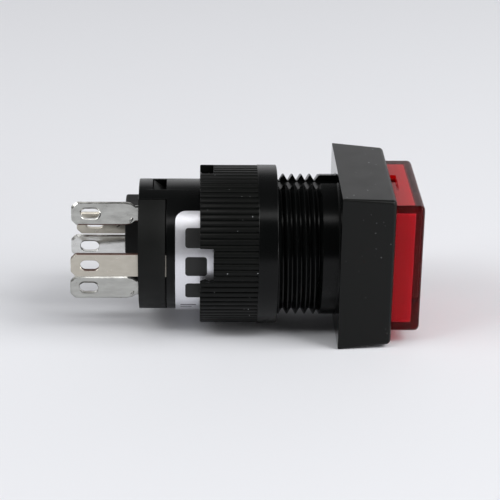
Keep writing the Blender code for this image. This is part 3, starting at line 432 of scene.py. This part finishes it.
def bezelRings():
    half = bezel["size"] / 2
    corners, sides = 6, 30
    reference = squareRing(0.0, half, half, bezel["corner"], corners, sides)
    angles = [math.atan2(z, y) for _, y, z in reference]

    def square(x, reach, radius):
        return squareRing(x, reach, reach, radius, corners, sides)

    def circle(x, radius):
        return [polar(x, radius, a) for a in angles]

    def cornerAt(x):
        # the long edges are crisp at the back and softer towards the finger
        return bezel["corner"] + bezel["cornerGrow"] * x / front

    pocket = bezel["pocket"] / 2
    front, lip, edge, tiny = bezel["thick"], bezel["lip"], bezel["edge"], bezel["backEdge"]
    frontHalf = half - bezel["draft"]
    rings = [circle(bezel["pocketFloor"], barrel["guide"])]
    rings.append(square(bezel["pocketFloor"], pocket, bezel["pocketCorner"]))
    for x, grow in arcPoints((front - lip, lip), lip, -math.pi / 2, 0, 3):
        rings.append(square(x, pocket + grow, bezel["pocketCorner"] + grow))
    for x, inset in reversed(arcPoints((front - edge, edge), edge, -math.pi / 2, 0, 5)):
        reach = frontHalf - inset + bezel["draft"] * (front - x) / front
        rings.append(square(x, reach, cornerAt(x) - inset * bezel["cornerLoss"]))
    rings.append(square(tiny, half - bezel["draft"] * tiny / front, bezel["corner"]))
    rings.append(square(0.0, half - tiny, bezel["corner"]))
    crest, root, fillet, cut = barrel["crest"], barrel["root"], barrel["fillet"], barrel["endChamfer"]
    rings += [circle(0.0, crest + fillet), circle(-fillet, crest)]
    rings.append(circle(-barrel["shoulder"] + barrel["slopeFront"], crest))
    rings.append(circle(-barrel["shoulder"] - barrel["slopeRear"], root))
    rings += [circle(-barrel["length"] + cut, root), circle(-barrel["length"], root - cut)]
    rings.append(circle(-barrel["length"], barrel["counterbore"]))
    rings += [circle(barrel["guideEnd"], barrel["counterbore"]), circle(barrel["guideEnd"], barrel["guide"])]
    return rings


def threadRidge():
    # one right-handed V ridge wound round the core, its first crest under the shoulder's end
    steps, leadIn, sunk = barrel["ridgeSteps"], barrel["leadIn"], barrel["sunk"]
    turns = barrel["length"] - barrel["shoulder"] - barrel["runOut"]
    base = barrel["root"] - sunk
    slope = (barrel["rootHalf"] - barrel["crestHalf"]) / (barrel["crest"] - barrel["root"])
    flank = barrel["rootHalf"] + sunk * slope
    rings = []
    for i in range(-leadIn, int(turns * steps) + 1):
        angle = math.radians(barrel["firstCrest"]) - 2 * math.pi * i / steps
        x = -barrel["shoulder"] - barrel["pitch"] * i / steps
        grown = min(max((i + leadIn) / barrel["growSteps"], 0.0), 1.0)
        crest = barrel["crest"] - barrel["grow"] + barrel["grow"] * grown
        rings.append([polar(x + flank, base, angle), polar(x + barrel["crestHalf"], crest, angle),
                      polar(x - barrel["crestHalf"], crest, angle), polar(x - flank, base, angle)])
    return skin(bmesh.new(), rings)


keyway = addBox(bmesh.new(), (-barrel["length"] - past, 0.0), (-barrel["keyWidth"] / 2, barrel["keyWidth"] / 2),
                (barrel["crest"] - barrel["keyDepth"], barrel["crest"] + past))
bezelPiece = makePiece("bezelAndBarrel", skin(bmesh.new(), bezelRings(), loop=True), satinBlack, "switch_body",
                       ["bezel_barrel"], 32, 0.0,
                       [("UNION", threadRidge()), ("DIFFERENCE", keyway)])
bezelPiece.data.materials.append(glossBlack)
bezelPiece.data.materials.append(polishedBlack)
for face in bezelPiece.data.polygons:
    # gloss on the barrel, polish on the bezel's back face
    if face.center.x < (panelX - barrel["glossFrom"]) * mm:
        face.material_index = 1
    elif face.normal.x < -bezel["backFacing"]:
        face.material_index = 2
print("bezel and barrel:", len(bezelPiece.data.polygons), "faces")


# Locking nut

nut = {"front": -6.76, "collar": 2.18, "length": 8.6, "radius": 8.93, "collarRadius": 8.98, "ridges": 80,
       "ridgeHeight": 0.17, "bore": 8.07, "minor": 7.62, "edge": 0.12, "chamfer": 0.22, "frontSupport": 0.1,
       "collarEase": 0.05, "step": 0.01, "rearEdge": 0.1, "crestHalf": 0.06, "notchWidth": 3.9,
       "notchDepth": 1.5, "notches": 4, "turn": 6.5, "glossFrom": 0.02}


def nutRings():
    # one ridge: broad crest, flank, groove, flank
    shape = (1.0, 1.0, 1.0, 1.0, 1.0, 0.6, 0.0, 0.6)
    count = nut["ridges"] * len(shape)
    angles = [math.radians(nut["turn"]) + 2 * math.pi * i / count for i in range(count)]

    def circle(x, radius):
        return [polar(x, radius, a) for a in angles]

    def knurl(x, inset=0.0):
        low, height = nut["radius"] - nut["ridgeHeight"], nut["ridgeHeight"]
        return [polar(x, low + height * shape[i % len(shape)] - inset, a) for i, a in enumerate(angles)]

    front, edge, outer, ease = nut["front"], nut["edge"], nut["collarRadius"], nut["collarEase"]
    bore, minor, crestHalf, rearEdge = nut["bore"], nut["minor"], nut["crestHalf"], nut["rearEdge"]
    collarRear = front - nut["collar"]
    rear = front - nut["length"]
    rounding = arcPoints((front - edge, edge), edge, -math.pi / 2, 0, 4)
    rings = [circle(front, bore + nut["chamfer"])]
    rings += [circle(x, outer - inset) for x, inset in reversed(rounding)]
    rings += [circle(front - edge - nut["frontSupport"], outer), circle(collarRear + support, outer)]
    rings += [circle(collarRear + ease, outer), circle(collarRear, outer - ease)]
    rings += [knurl(collarRear - nut["step"]), knurl(rear + rearEdge), knurl(rear, rearEdge)]
    rings += [circle(rear, bore + rearEdge), circle(rear + rearEdge, bore)]
    # behind the barrel the nut's own thread shows in the notches
    halfPitch = barrel["pitch"] / 2
    crest = rear + halfPitch
    while crest < -barrel["length"] - barrel["runOut"]:
        rings += [circle(crest - crestHalf, minor), circle(crest + crestHalf, minor)]
        rings.append(circle(crest + halfPitch, bore))
        crest += barrel["pitch"]
    return rings + [circle(front - nut["chamfer"], bore)]


notchTool = bmesh.new()
nutRear = nut["front"] - nut["length"]
for k in range(nut["notches"]):
    turn = math.pi - math.radians(nut["turn"]) + k * 2 * math.pi / nut["notches"]
    addBox(notchTool, (nutRear - past, nutRear + nut["notchDepth"]), (nut["bore"] - past, nut["radius"] + past),
           (-nut["notchWidth"] / 2, nut["notchWidth"] / 2), turn)
nutPiece = makePiece("knurledNut", skin(bmesh.new(), nutRings(), loop=True), knurlBlack, "nut", ["locking_nut"],
                     50, 0.0, [("DIFFERENCE", notchTool)])
nutPiece.data.materials.append(glossBlack)
for face in nutPiece.data.polygons:
    # gloss on the smooth collar
    if face.center.x > (panelX + nut["front"] - nut["collar"] + nut["glossFrom"]) * mm:
        face.material_index = 1
print("nut:", len(nutPiece.data.polygons), "faces")


# Lens cap, marking plate and diffuser

cap = {"size": 15.0, "proud": 3.25, "wall": 0.9, "edge": 0.55, "innerEdge": 0.15, "skirt": 4.95, "gap": 0.1,
       "cornerLoss": 0.6, "leastInner": 0.06, "leastOuter": 0.12}
plate = {"thick": 0.68, "corner": 0.25, "edge": 0.04}
diffuser = {"wall": 0.9, "edge": 0.03, "innerEdge": 0.2, "seat": 0.005}
opening = {"length": 4.0, "middle": 0.3, "proud": 0.92, "notch": 2.2, "notchUnder": 0.3, "slit": 0.26,
           "slitFront": 0.01, "slitStop": 0.5, "slitUnder": 0.2, "slitOver": 0.9, "window": 1.3,
           "windowInset": 0.05, "windowDeep": 1.4}


def boxRings(rear, front, half, edge, wall, innerEdge):
    # an open-backed box with rounded outer and inner edges; the corners tighten towards the front
    def square(x, reach, radius):
        return squareRing(x, reach, reach, radius, 5, 2)

    inner = half - wall
    inside = front - wall
    loss = cap["cornerLoss"]
    rings = []
    for x, inset in reversed(arcPoints((inside - innerEdge, innerEdge), innerEdge, -math.pi / 2, 0, 3)):
        rings.append(square(x, inner - inset, max(innerEdge - inset * loss, cap["leastInner"])))
    rings += [square(rear, inner, innerEdge), square(rear, half, edge)]
    rings.append(square(front - edge - support, half, edge))
    for x, inset in arcPoints((front - edge, edge), edge, -math.pi / 2, 0, 6):
        rings.append(square(x, half - inset, max(edge - inset * loss, cap["leastOuter"])))
    return rings


capFront = bezel["thick"] + cap["proud"]
capHalf = cap["size"] / 2
openLow, openHigh = opening["middle"] - opening["length"] / 2, opening["middle"] + opening["length"] / 2
openEnd = bezel["thick"] + opening["proud"]
# the clip's notch goes through the wall over the diffuser's window, and a narrow slit runs on from it
notch = addBox(bmesh.new(), (cap["skirt"] - past, openEnd), (openHigh - opening["notch"], openHigh),
               (capHalf - cap["wall"] - opening["notchUnder"], capHalf + past))
slit = addBox(bmesh.new(), (openEnd - opening["slit"], openEnd - opening["slitFront"]),
              (openLow, openHigh - opening["slitStop"]),
              (capHalf - cap["wall"] - opening["slitUnder"], capHalf + opening["slitOver"]))
capRings = boxRings(cap["skirt"], capFront, capHalf, cap["edge"], cap["wall"], cap["innerEdge"])
makePiece("redLensCap", skin(bmesh.new(), capRings), redLens, "button", ["lens_cap"], 30,
          0.0, [("DIFFERENCE", notch), ("DIFFERENCE", slit)])

insideHalf = capHalf - cap["wall"] - cap["gap"]
plateFront = capFront - cap["wall"] - cap["gap"]
plateRear = plateFront - plate["thick"]
plateProfile = [(plateRear, 0.0), (plateRear + plate["edge"], 0.0), (plateFront - plate["edge"], 0.0),
                (plateFront, plate["edge"])]
plateRings = [squareRing(x, insideHalf - r, insideHalf - r, plate["corner"], 4, 2) for x, r in plateProfile]
makePiece("markingPlate", skin(bmesh.new(), plateRings), milky, "button", ["marking_plate"], 30)

window = addBox(bmesh.new(), (cap["skirt"] - past, openEnd - opening["windowInset"]),
                (openHigh - opening["window"], openHigh - opening["windowInset"]),
                (insideHalf - opening["windowDeep"], insideHalf + past))
diffuserRings = boxRings(cap["skirt"], plateRear - diffuser["seat"], insideHalf, diffuser["edge"],
                         diffuser["wall"], diffuser["innerEdge"])
makePiece("milkyDiffuser", skin(bmesh.new(), diffuserRings), milky, "button", ["diffuser"], 30,
          0.0, [("DIFFERENCE", window)])
print("lens, plate and diffuser made")


# Contact housing

housing = {"radius": 7.37, "wall": 0.93, "rear": -22.18, "step": -12.85, "stepEdge": 0.2, "stepWall": 0.8,
           "neck": 6.325, "neckBore": 5.525, "front": -9.65, "frontWall": 0.9, "mouth": 4.6, "rearEdge": 0.12,
           "segment": 2.98, "seam": 0.13, "half": 64.0, "cutDeep": 2.0, "latchWidth": 3.2, "latchLength": 1.55,
           "latchFromRear": 1.53, "segments": 192, "arcSteps": 64}


def housingBody():
    outer, neck, bore = housing["radius"], housing["neck"], housing["neckBore"]
    inner = outer - housing["wall"]
    rear, step, front, mouth = housing["rear"], housing["step"], housing["front"], housing["mouth"]
    edge = housing["rearEdge"]
    profile = [(front, mouth), (front, neck), (step, neck), (step, outer - housing["stepEdge"])]
    profile.append((step - housing["stepEdge"], outer))
    rounding = arcPoints((rear + edge, edge), edge, -math.pi / 2, -math.pi, 3)
    profile += [(x, outer - inset) for x, inset in rounding]
    profile += [(rear, inner), (step - housing["stepWall"], inner), (step - housing["stepWall"], bore)]
    profile += [(front - housing["frontWall"], bore), (front - housing["frontWall"], mouth)]
    return turned(profile, housing["segments"])


def housingTools():
    # room for the base's two curved segments, then the two latch windows
    lean = math.degrees(housing["seam"] / housing["radius"])
    depth = (housing["radius"] - housing["cutDeep"], housing["radius"] + past)
    front = housing["rear"] + housing["segment"] + housing["seam"]
    tools = []
    for middle in (0.0, 180.0):
        low = math.radians(middle - housing["half"] - lean)
        high = math.radians(middle + housing["half"] + lean)
        space = sector(housing["rear"] - past, front, *depth, low, high, housing["arcSteps"])
        tools.append(("DIFFERENCE", space))
    windows = bmesh.new()
    x0 = housing["rear"] + housing["latchFromRear"]
    wide = housing["latchWidth"] / 2
    for turn in (0.0, math.pi):
        addBox(windows, (x0, x0 + housing["latchLength"]), (-wide, wide), depth, turn)
    return tools + [("DIFFERENCE", windows)]


housingPiece = makePiece("contactHousing", housingBody(), glossBlack, "switch_body", ["contact_housing"],
                         35, 0.05, housingTools())
print("housing:", len(housingPiece.data.polygons), "faces")


# Terminal base

base = {"radius": 6.34, "thick": 4.0, "core": 0.02, "overlap": 1.0, "bossY": 1.65, "bossHalfY": 2.85,
        "bossHalfZ": 4.39, "bossLength": 1.62, "bossCorner": 0.6, "bossSunk": 0.5, "bossEdge": 0.2,
        "bossEase": 0.06, "slotThick": 0.35, "slotHalf": 1.435, "slotReach": 3.0}
tooth = {"play": 0.1, "sidePlay": 0.25, "root": 5.6, "low": 6.24, "high": 7.12, "tip": 0.12}
terminalPlaces = {
    "lamp_terminal_near": (-6.09, 0.0), "lamp_terminal_far": (6.09, 0.0), "common_terminal": (-0.6, 0.0),
    "normally_closed_terminal": (-2.08, 4.49), "normally_open_terminal": (-2.08, -4.49)}


def baseTools():
    # two curved segments, the boss, two latch teeth, then the terminals' slots
    rear = housing["rear"]
    front = rear + housing["segment"]
    tools = []
    for middle in (0.0, 180.0):
        low, high = math.radians(middle - housing["half"]), math.radians(middle + housing["half"])
        segment = sector(rear, front, base["radius"] - base["overlap"], housing["radius"], low, high,
                         housing["arcSteps"])
        tools.append(("UNION", segment))
    bossRear, edge, ease = rear - base["bossLength"], base["bossEdge"], base["bossEase"]
    boss = [(rear + base["bossSunk"], 0.0), (bossRear + edge, 0.0), (bossRear + ease, ease), (bossRear, edge)]
    bossRings = [squareRing(x, base["bossHalfY"] - r, base["bossHalfZ"] - r, base["bossCorner"] - r / 2, 6, 2,
                            base["bossY"]) for x, r in boss]
    tools.append(("UNION", skin(bmesh.new(), bossRings)))
    latch = rear + housing["latchFromRear"]
    x0, x1 = latch + tooth["play"], latch + housing["latchLength"] - tooth["play"]
    wide = housing["latchWidth"] / 2 - tooth["sidePlay"]
    outline = [(x0, tooth["root"]), (x0, tooth["high"]), (x0 + tooth["tip"], tooth["high"]), (x1, tooth["low"]),
               (x1, tooth["root"])]
    for side in (1, -1):
        sides = [[(x, y, side * r) for x, r in outline] for y in (-wide, wide)]
        tools.append(("UNION", skin(bmesh.new(), sides)))
    slots = bmesh.new()
    thin, half = base["slotThick"], base["slotHalf"]
    for y, z in terminalPlaces.values():
        addBox(slots, (rear - base["slotReach"], rear + base["thick"] + past), (y - thin, y + thin),
               (z - half, z + half))
    return tools + [("DIFFERENCE", slots)]


baseProfile = [(0.0, base["core"]), (0.0, base["radius"]), (base["thick"], base["radius"]),
               (base["thick"], base["core"])]
baseBody = turned([(housing["rear"] + x, r) for x, r in baseProfile], housing["segments"])
basePiece = makePiece("terminalBase", baseBody, dullBlack, "switch_body", ["terminal_base"],
                      35, 0.06, baseTools())
print("base:", len(basePiece.data.polygons), "faces")


# Terminals

terminal = {"half": 1.335, "thick": 0.5, "tip": 0.5, "easeLong": 0.3, "easeShort": 0.35, "slotLength": 2.1,
            "slotWidth": 1.2, "slotFromTip": 2.1, "rimWide": 0.16, "rimSlope": 0.05, "rimDrop": 0.04,
            "neckHalf": 0.9, "neckStart": 1.5, "neckEnd": 0.4, "neckRun": 0.45, "neckEase": 0.12,
            "pastBase": 0.1}
lug = {"seam": 0.02, "thick": 0.1, "proud": 0.13, "half": 1.28}
dimple = {"fromBase": 0.85, "down": 0.72, "turn": 35.0, "size": (0.14, 0.1, 0.36)}


def terminalOutline(inset, reach, rear, neck):
    # outline in x and z, drawn inwards by inset; the corners of the tip are eased, and it ends inside the base
    tip = housing["rear"] - reach + inset
    half = terminal["half"] - inset
    cut = terminal["tip"]
    long = cut * terminal["easeLong"]
    short = long * terminal["easeShort"]
    upper = [(tip, half - cut - long), (tip + short, half - cut), (tip + cut, half - short)]
    upper.append((tip + cut + long, half))
    if neck:
        neckRear, neckHalf = housing["rear"] - terminal["neckEnd"], terminal["neckHalf"] - inset
        upper.append((housing["rear"] - terminal["neckStart"], half))
        upper.append((neckRear - terminal["neckRun"], half - terminal["neckEase"]))
        upper += [(neckRear, neckHalf), (rear, neckHalf)]
    else:
        upper.append((rear, half))
    return upper + [(x, -z) for x, z in reversed(upper)]


def slotOutline(grow, reach):
    middle = housing["rear"] - reach + terminal["slotFromTip"]
    flat = (terminal["slotLength"] - terminal["slotWidth"]) / 2
    radius = terminal["slotWidth"] / 2 + grow
    right = arcPoints((middle + flat, 0.0), radius, -math.pi / 2, math.pi / 2, 10)
    left = arcPoints((middle - flat, 0.0), radius, math.pi / 2, 3 * math.pi / 2, 10)
    return right + left


def wall(bm, low, high):
    for i in range(len(low)):
        j = (i + 1) % len(low)
        bm.faces.new((low[i], low[j], high[j], high[i]))


def terminalMesh(reach, bevel, lip, rear, neck):
    # bevel is the width of the pressed slope along the edge, lip the height of the slot's raised rim
    bm = bmesh.new()
    half = terminal["thick"] / 2
    land = half - bevel

    def ring(points, y):
        return [bm.verts.new((x, y, z)) for x, z in points]

    outer = {side: ring(terminalOutline(0.0, reach, rear, neck), side * land) for side in (-1, 1)}
    wall(bm, outer[-1], outer[1])
    hole = {}
    for side in (-1, 1):
        top = ring(terminalOutline(bevel, reach, rear, neck), side * half)
        wall(bm, outer[side], top)
        raised = lip if side < 0 else 0.0
        foot = ring(slotOutline(terminal["rimWide"], reach), side * half)
        crown = ring(slotOutline(terminal["rimSlope"], reach), side * (half + raised))
        hole[side] = ring(slotOutline(0.0, reach), side * (half + raised - terminal["rimDrop"]))
        wall(bm, foot, crown)
        wall(bm, crown, hole[side])
        edges = [bm.edges.get((a, b)) for loop in (top, foot) for a, b in zip(loop, loop[1:] + loop[:1])]
        bmesh.ops.triangle_fill(bm, use_beauty=True, edges=edges)
    wall(bm, hole[-1], hole[1])
    return bm


def addDimple(bm):
    # the small pip that stakes a necked terminal
    place = (housing["rear"] - dimple["fromBase"], -terminal["thick"] / 2, -dimple["down"])
    turn = Matrix.Rotation(math.radians(dimple["turn"]), 4, "Y")
    shape = Matrix.Translation(place) @ turn @ Matrix.Diagonal(dimple["size"] + (1.0,))
    bmesh.ops.create_uvsphere(bm, u_segments=20, v_segments=12, radius=1.0, matrix=shape)


terminalForms = {
    # reach behind the base, bevel, raised rim, necked, tilt about its own length in degrees, finish
    "lamp_terminal_near": (7.44, 0.05, 0.0, False, 0.0, warmPlate),
    "lamp_terminal_far": (7.53, 0.14, 0.05, False, 0.0, warmPlate),
    # the common terminal's lighter plate is painted extra reflection
    "common_terminal": (7.72, 0.18, 0.04, False, 0.0, paintedLighterTinPlate),
    "normally_closed_terminal": (7.53, 0.17, 0.07, True, -6.0, tinPlate),
    "normally_open_terminal": (7.85, 0.15, 0.06, True, 0.0, tinPlate)}
# the long edge that shows bare copper: 1 is the upper one, -1 the lower
shearedSides = {"lamp_terminal_near": 1, "normally_closed_terminal": -1}
shearedFacing = 0.6
for node, (y, z) in terminalPlaces.items():
    reach, bevel, lip, neck, tilt, plating = terminalForms[node]
    rear = min(localBox(node)[1].x, housing["rear"] + base["thick"] + terminal["pastBase"])
    bm = terminalMesh(reach, bevel, lip, rear, neck)
    if neck:
        addDimple(bm)
    bmesh.ops.rotate(bm, cent=(0, 0, 0), matrix=Matrix.Rotation(math.radians(tilt), 3, "X"), verts=bm.verts)
    bmesh.ops.translate(bm, vec=(0.0, y, z), verts=bm.verts)
    extra = []
    if node.startswith("lamp"):
        seam = housing["rear"] + housing["segment"] + lug["seam"]
        across = sorted((y, math.copysign(base["radius"] + lug["proud"], y)))
        spur = addBox(bmesh.new(), (seam, seam + lug["thick"]), across, (-lug["half"], lug["half"]))
        extra.append(("UNION", spur))
    blade = makePiece(node + "_blade", bm, plating, "switch_body", [node], 28, 0.0, extra)
    if node in shearedSides:
        blade.data.materials.append(shearedEdge)
        for face in blade.data.polygons:
            if face.normal.z * shearedSides[node] > shearedFacing:
                face.material_index = 1
print("terminals made")


# Label

label = {"from": 4.1, "length": 5.0, "top": 128.5, "bottom": 310.0, "radius": 7.41, "thick": 0.1,
         "corner": 1.2, "ink": 0.012, "inkSunk": 0.005, "cornerSteps": 8, "stepsPerRadian": 30}


def bentSheet(low, high, top, bottom, corner, inner, thick):
    # a sheet with rounded corners, bent round the axis: x from low to high, turned from top to bottom in degrees
    top, bottom, turn, steps = math.radians(top), math.radians(bottom), corner / inner, label["cornerSteps"]
    angles = [top + turn * (1 - math.cos(a)) for a in spread(0.0, math.pi / 2, steps)]
    middle = max(int((bottom - top) * label["stepsPerRadian"]), 2)
    angles += spread(top + turn, bottom - turn, middle)[1:-1]
    angles += [bottom - turn * (1 - math.cos(a)) for a in spread(math.pi / 2, 0.0, steps)]
    rows = []
    for a in angles:
        part = max(corner - min(a - top, bottom - a) * inner, 0.0)
        inset = corner - math.sqrt(max(corner ** 2 - part ** 2, 0.0))
        left, right, outer = low + inset, high - inset, inner + thick
        rows.append([polar(left, inner, a), polar(right, inner, a), polar(right, outer, a), polar(left, outer, a)])
    return rows


labelLow = housing["rear"] + label["from"]
sheet = bentSheet(labelLow, labelLow + label["length"], label["top"], label["bottom"], label["corner"],
                  label["radius"], label["thick"])
makePiece("silverLabel", skin(bmesh.new(), sheet), labelFilm, "switch_body", ["rating_label"], 30)

# a made-up decoration where the real label is printed: three blocks and two rules,
# each from and to in mm along the label, then from and to in degrees round it, and its corner
decoration = [(1.1, 3.5, 144.0, 161.0, 0.35), (1.1, 3.5, 168.5, 185.5, 0.35), (1.1, 3.5, 193.0, 210.0, 0.35),
              (0.55, 2.3, 222.0, 223.3, 0.04), (0.55, 1.8, 226.5, 227.8, 0.04)]
printed = bmesh.new()
inkRadius = label["radius"] + label["thick"] - label["inkSunk"]
for start, end, top, bottom, corner in decoration:
    skin(printed, bentSheet(labelLow + start, labelLow + end, top, bottom, corner, inkRadius, label["ink"]))
makePiece("labelPrint", printed, ink, "switch_body", ["rating_label"], 30)
print("label made")


# Inside pieces keep their solids

insides = {
    "button_holder": glossBlack, "actuator": acetal, "lamp_socket": glossBlack, "led_bulb": lampEpoxy,
    "lamp_base": acetal, "lamp_contact_near": bronze, "lamp_contact_far": bronze, "moving_blade": bronze,
    "moving_contact": silverRivet, "normally_closed_contact": silverRivet,
    "normally_open_contact": silverRivet}
for node, material in insides.items():
    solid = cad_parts[node]
    solid.data.materials.clear()
    solid.data.materials.append(material)

spring = {"wire": 0.45, "radius": 4.0, "turns": 6, "steps": 60, "sides": 12, "closed": 1.1}


def springCoil():
    # the first and last turns are closed, the ones between share what length is left
    low, high = localBox("return_spring")
    start, end = low.x + spring["wire"] / 2, high.x - spring["wire"] / 2
    closed = spring["wire"] * spring["closed"]
    free = spring["turns"] - 2
    along = Vector((1.0, 0.0, 0.0))
    pitch = (end - start - 2 * closed) / free
    rings = []
    for i in range(spring["turns"] * spring["steps"] + 1):
        turn = i / spring["steps"]
        x = start + closed * min(turn, 1.0) + pitch * min(max(turn - 1.0, 0.0), free)
        x += closed * max(turn - 1.0 - free, 0.0)
        angle = turn * 2 * math.pi
        centre, outward = Vector(polar(x, spring["radius"], angle)), Vector(polar(0.0, 1.0, angle))
        rings.append([centre + (outward * math.cos(a) + along * math.sin(a)) * spring["wire"] / 2
                      for a in spread(0.0, 2 * math.pi, spring["sides"])[:-1]])
    return skin(bmesh.new(), rings)


springPiece = makePiece("returnSpringCoil", springCoil(), springWire, "switch_body", ["return_spring"],
                        60)
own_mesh(springPiece)
print("inside pieces dressed")


# Camera, floor and light

camera = {"lensPixels": 1790.0, "distance": 204.1, "tilt": 23.297, "yaw": 1.876, "roll": 0.898,
          "targetX": -9.644, "targetZ": -0.808, "sensor": 36.0, "frame": 500.0, "clip": 0.01}
room = {
    # brightness by the angle from the near horizon over the top to the far one, then that of the two sides
    "arch": [(0.0, 0.03), (50.0, 0.03), (85.0, 0.12), (138.0, 0.2), (155.0, 0.95), (180.0, 0.9)],
    "sides": 0.3, "sideFrom": 0.45, "sideTo": 0.95, "blueCast": 1.02}
lights = {
    # place and size in metres, power in watts; each faces the middle of the switch
    "rightSoftbox": ((0.42, -0.13, 0.36), (0.35, 0.30), 2.2),
    "leftSoftbox": ((-0.40, -0.13, 0.36), (0.30, 0.30), 1.15),
    "lowCard": ((0.52, -0.36, 0.07), (0.25, 0.10), 1.0),
    "ceilingStrip": ((0.0, -0.26, 0.55), (1.0, 0.10), 1.05)}


def makeCamera():
    tilt, yaw, roll = (math.radians(camera[k]) for k in ("tilt", "yaw", "roll"))
    forward = Vector((math.sin(yaw) * math.cos(tilt), math.cos(yaw) * math.cos(tilt), -math.sin(tilt)))
    right = Vector((math.cos(yaw), -math.sin(yaw), 0.0))
    up = right.cross(forward)
    right, up = right * math.cos(roll) + up * math.sin(roll), up * math.cos(roll) - right * math.sin(roll)
    data = bpy.data.cameras.new("photoCamera")
    data.sensor_width = camera["sensor"]
    data.lens = camera["sensor"] * camera["lensPixels"] / camera["frame"]
    data.clip_start = camera["clip"]
    obj = bpy.data.objects.new("photoCamera", data)
    bpy.context.collection.objects.link(obj)
    target = Vector((camera["targetX"] + panelX, 0.0, camera["targetZ"] + axisZ)) * mm
    place = target - forward * camera["distance"] * mm
    obj.matrix_world = Matrix.Translation(place) @ Matrix((right, up, -forward)).transposed().to_4x4()
    bpy.context.scene.camera = obj


def makeFloor():
    bm = bmesh.new()
    bmesh.ops.create_grid(bm, x_segments=2, y_segments=2, size=3.0)
    mesh = bpy.data.meshes.new("paperSweep")
    bm.to_mesh(mesh)
    bm.free()
    floor = bpy.data.objects.new("paperSweep", mesh)
    bpy.context.collection.objects.link(floor)
    # matt white paper: evenly pale, no gloss
    material, tree, shader, place = startMaterial("matt_white_paper", {"Base Color": hexColour("e8e9ed"),
                                                                       "Specular IOR Level": 0.1})
    addRoughness(tree, shader, place, 30.0, 0.85, 0.95)
    mesh.materials.append(material)


def addLight(name, place, size, power):
    data = bpy.data.lights.new(name, "AREA")
    data.shape = "RECTANGLE"
    data.size, data.size_y = size
    data.energy = power
    obj = bpy.data.objects.new(name, data)
    obj.location = place
    middle = Vector((0.0, 0.0, 0.009))
    obj.rotation_euler = (middle - Vector(place)).to_track_quat("-Z", "Y").to_euler()
    bpy.context.collection.objects.link(obj)


def makeWorld():
    # a room lit from behind the switch
    world = bpy.data.worlds.new("photoRoom")
    world.use_nodes = True
    tree = world.node_tree
    way = addNode(tree, "ShaderNodeTexCoord", {}).outputs["Generated"]
    axes = addNode(tree, "ShaderNodeSeparateXYZ", {}, [(0, way)])
    toward = addNode(tree, "ShaderNodeMath", {"operation": "MULTIPLY", 1: -1.0}, [(0, axes.outputs["Y"])])
    angle = addNode(tree, "ShaderNodeMath", {"operation": "ARCTAN2"},
                    [(0, axes.outputs["Z"]), (1, toward.outputs[0])])
    share = addNode(tree, "ShaderNodeMath", {"operation": "DIVIDE", 1: math.pi}, [(0, angle.outputs[0])])
    ramp = addNode(tree, "ShaderNodeValToRGB", {}, [("Fac", share.outputs[0])])
    ramp.color_ramp.interpolation = "EASE"
    stops = ramp.color_ramp.elements
    for degrees, grey in room["arch"][1:-1]:
        stops.new(degrees / 180.0)
    for stop, (degrees, grey) in zip(stops, room["arch"]):
        stop.position = degrees / 180.0
        stop.color = (grey, grey, grey * room["blueCast"], 1.0)
    side = addNode(tree, "ShaderNodeMath", {"operation": "ABSOLUTE"}, [(0, axes.outputs["X"])])
    span = {"From Min": room["sideFrom"], "From Max": room["sideTo"], "To Min": 0.0, "To Max": 1.0}
    blend = addNode(tree, "ShaderNodeMapRange", span, [("Value", side.outputs[0])])
    mix = addNode(tree, "ShaderNodeMix", {"data_type": "RGBA", 7: (room["sides"],) * 3 + (1.0,)},
                  [(0, blend.outputs["Result"]), (6, ramp.outputs["Color"])])
    background = tree.nodes["Background"]
    tree.links.new(mix.outputs[2], background.inputs["Color"])
    background.inputs["Strength"].default_value = 1.0
    bpy.context.scene.world = world


makeCamera()
makeFloor()
makeWorld()
for name, form in lights.items():
    addLight(name, *form)
bpy.context.scene.view_settings.view_transform = "Standard"
print("camera, floor and light set")
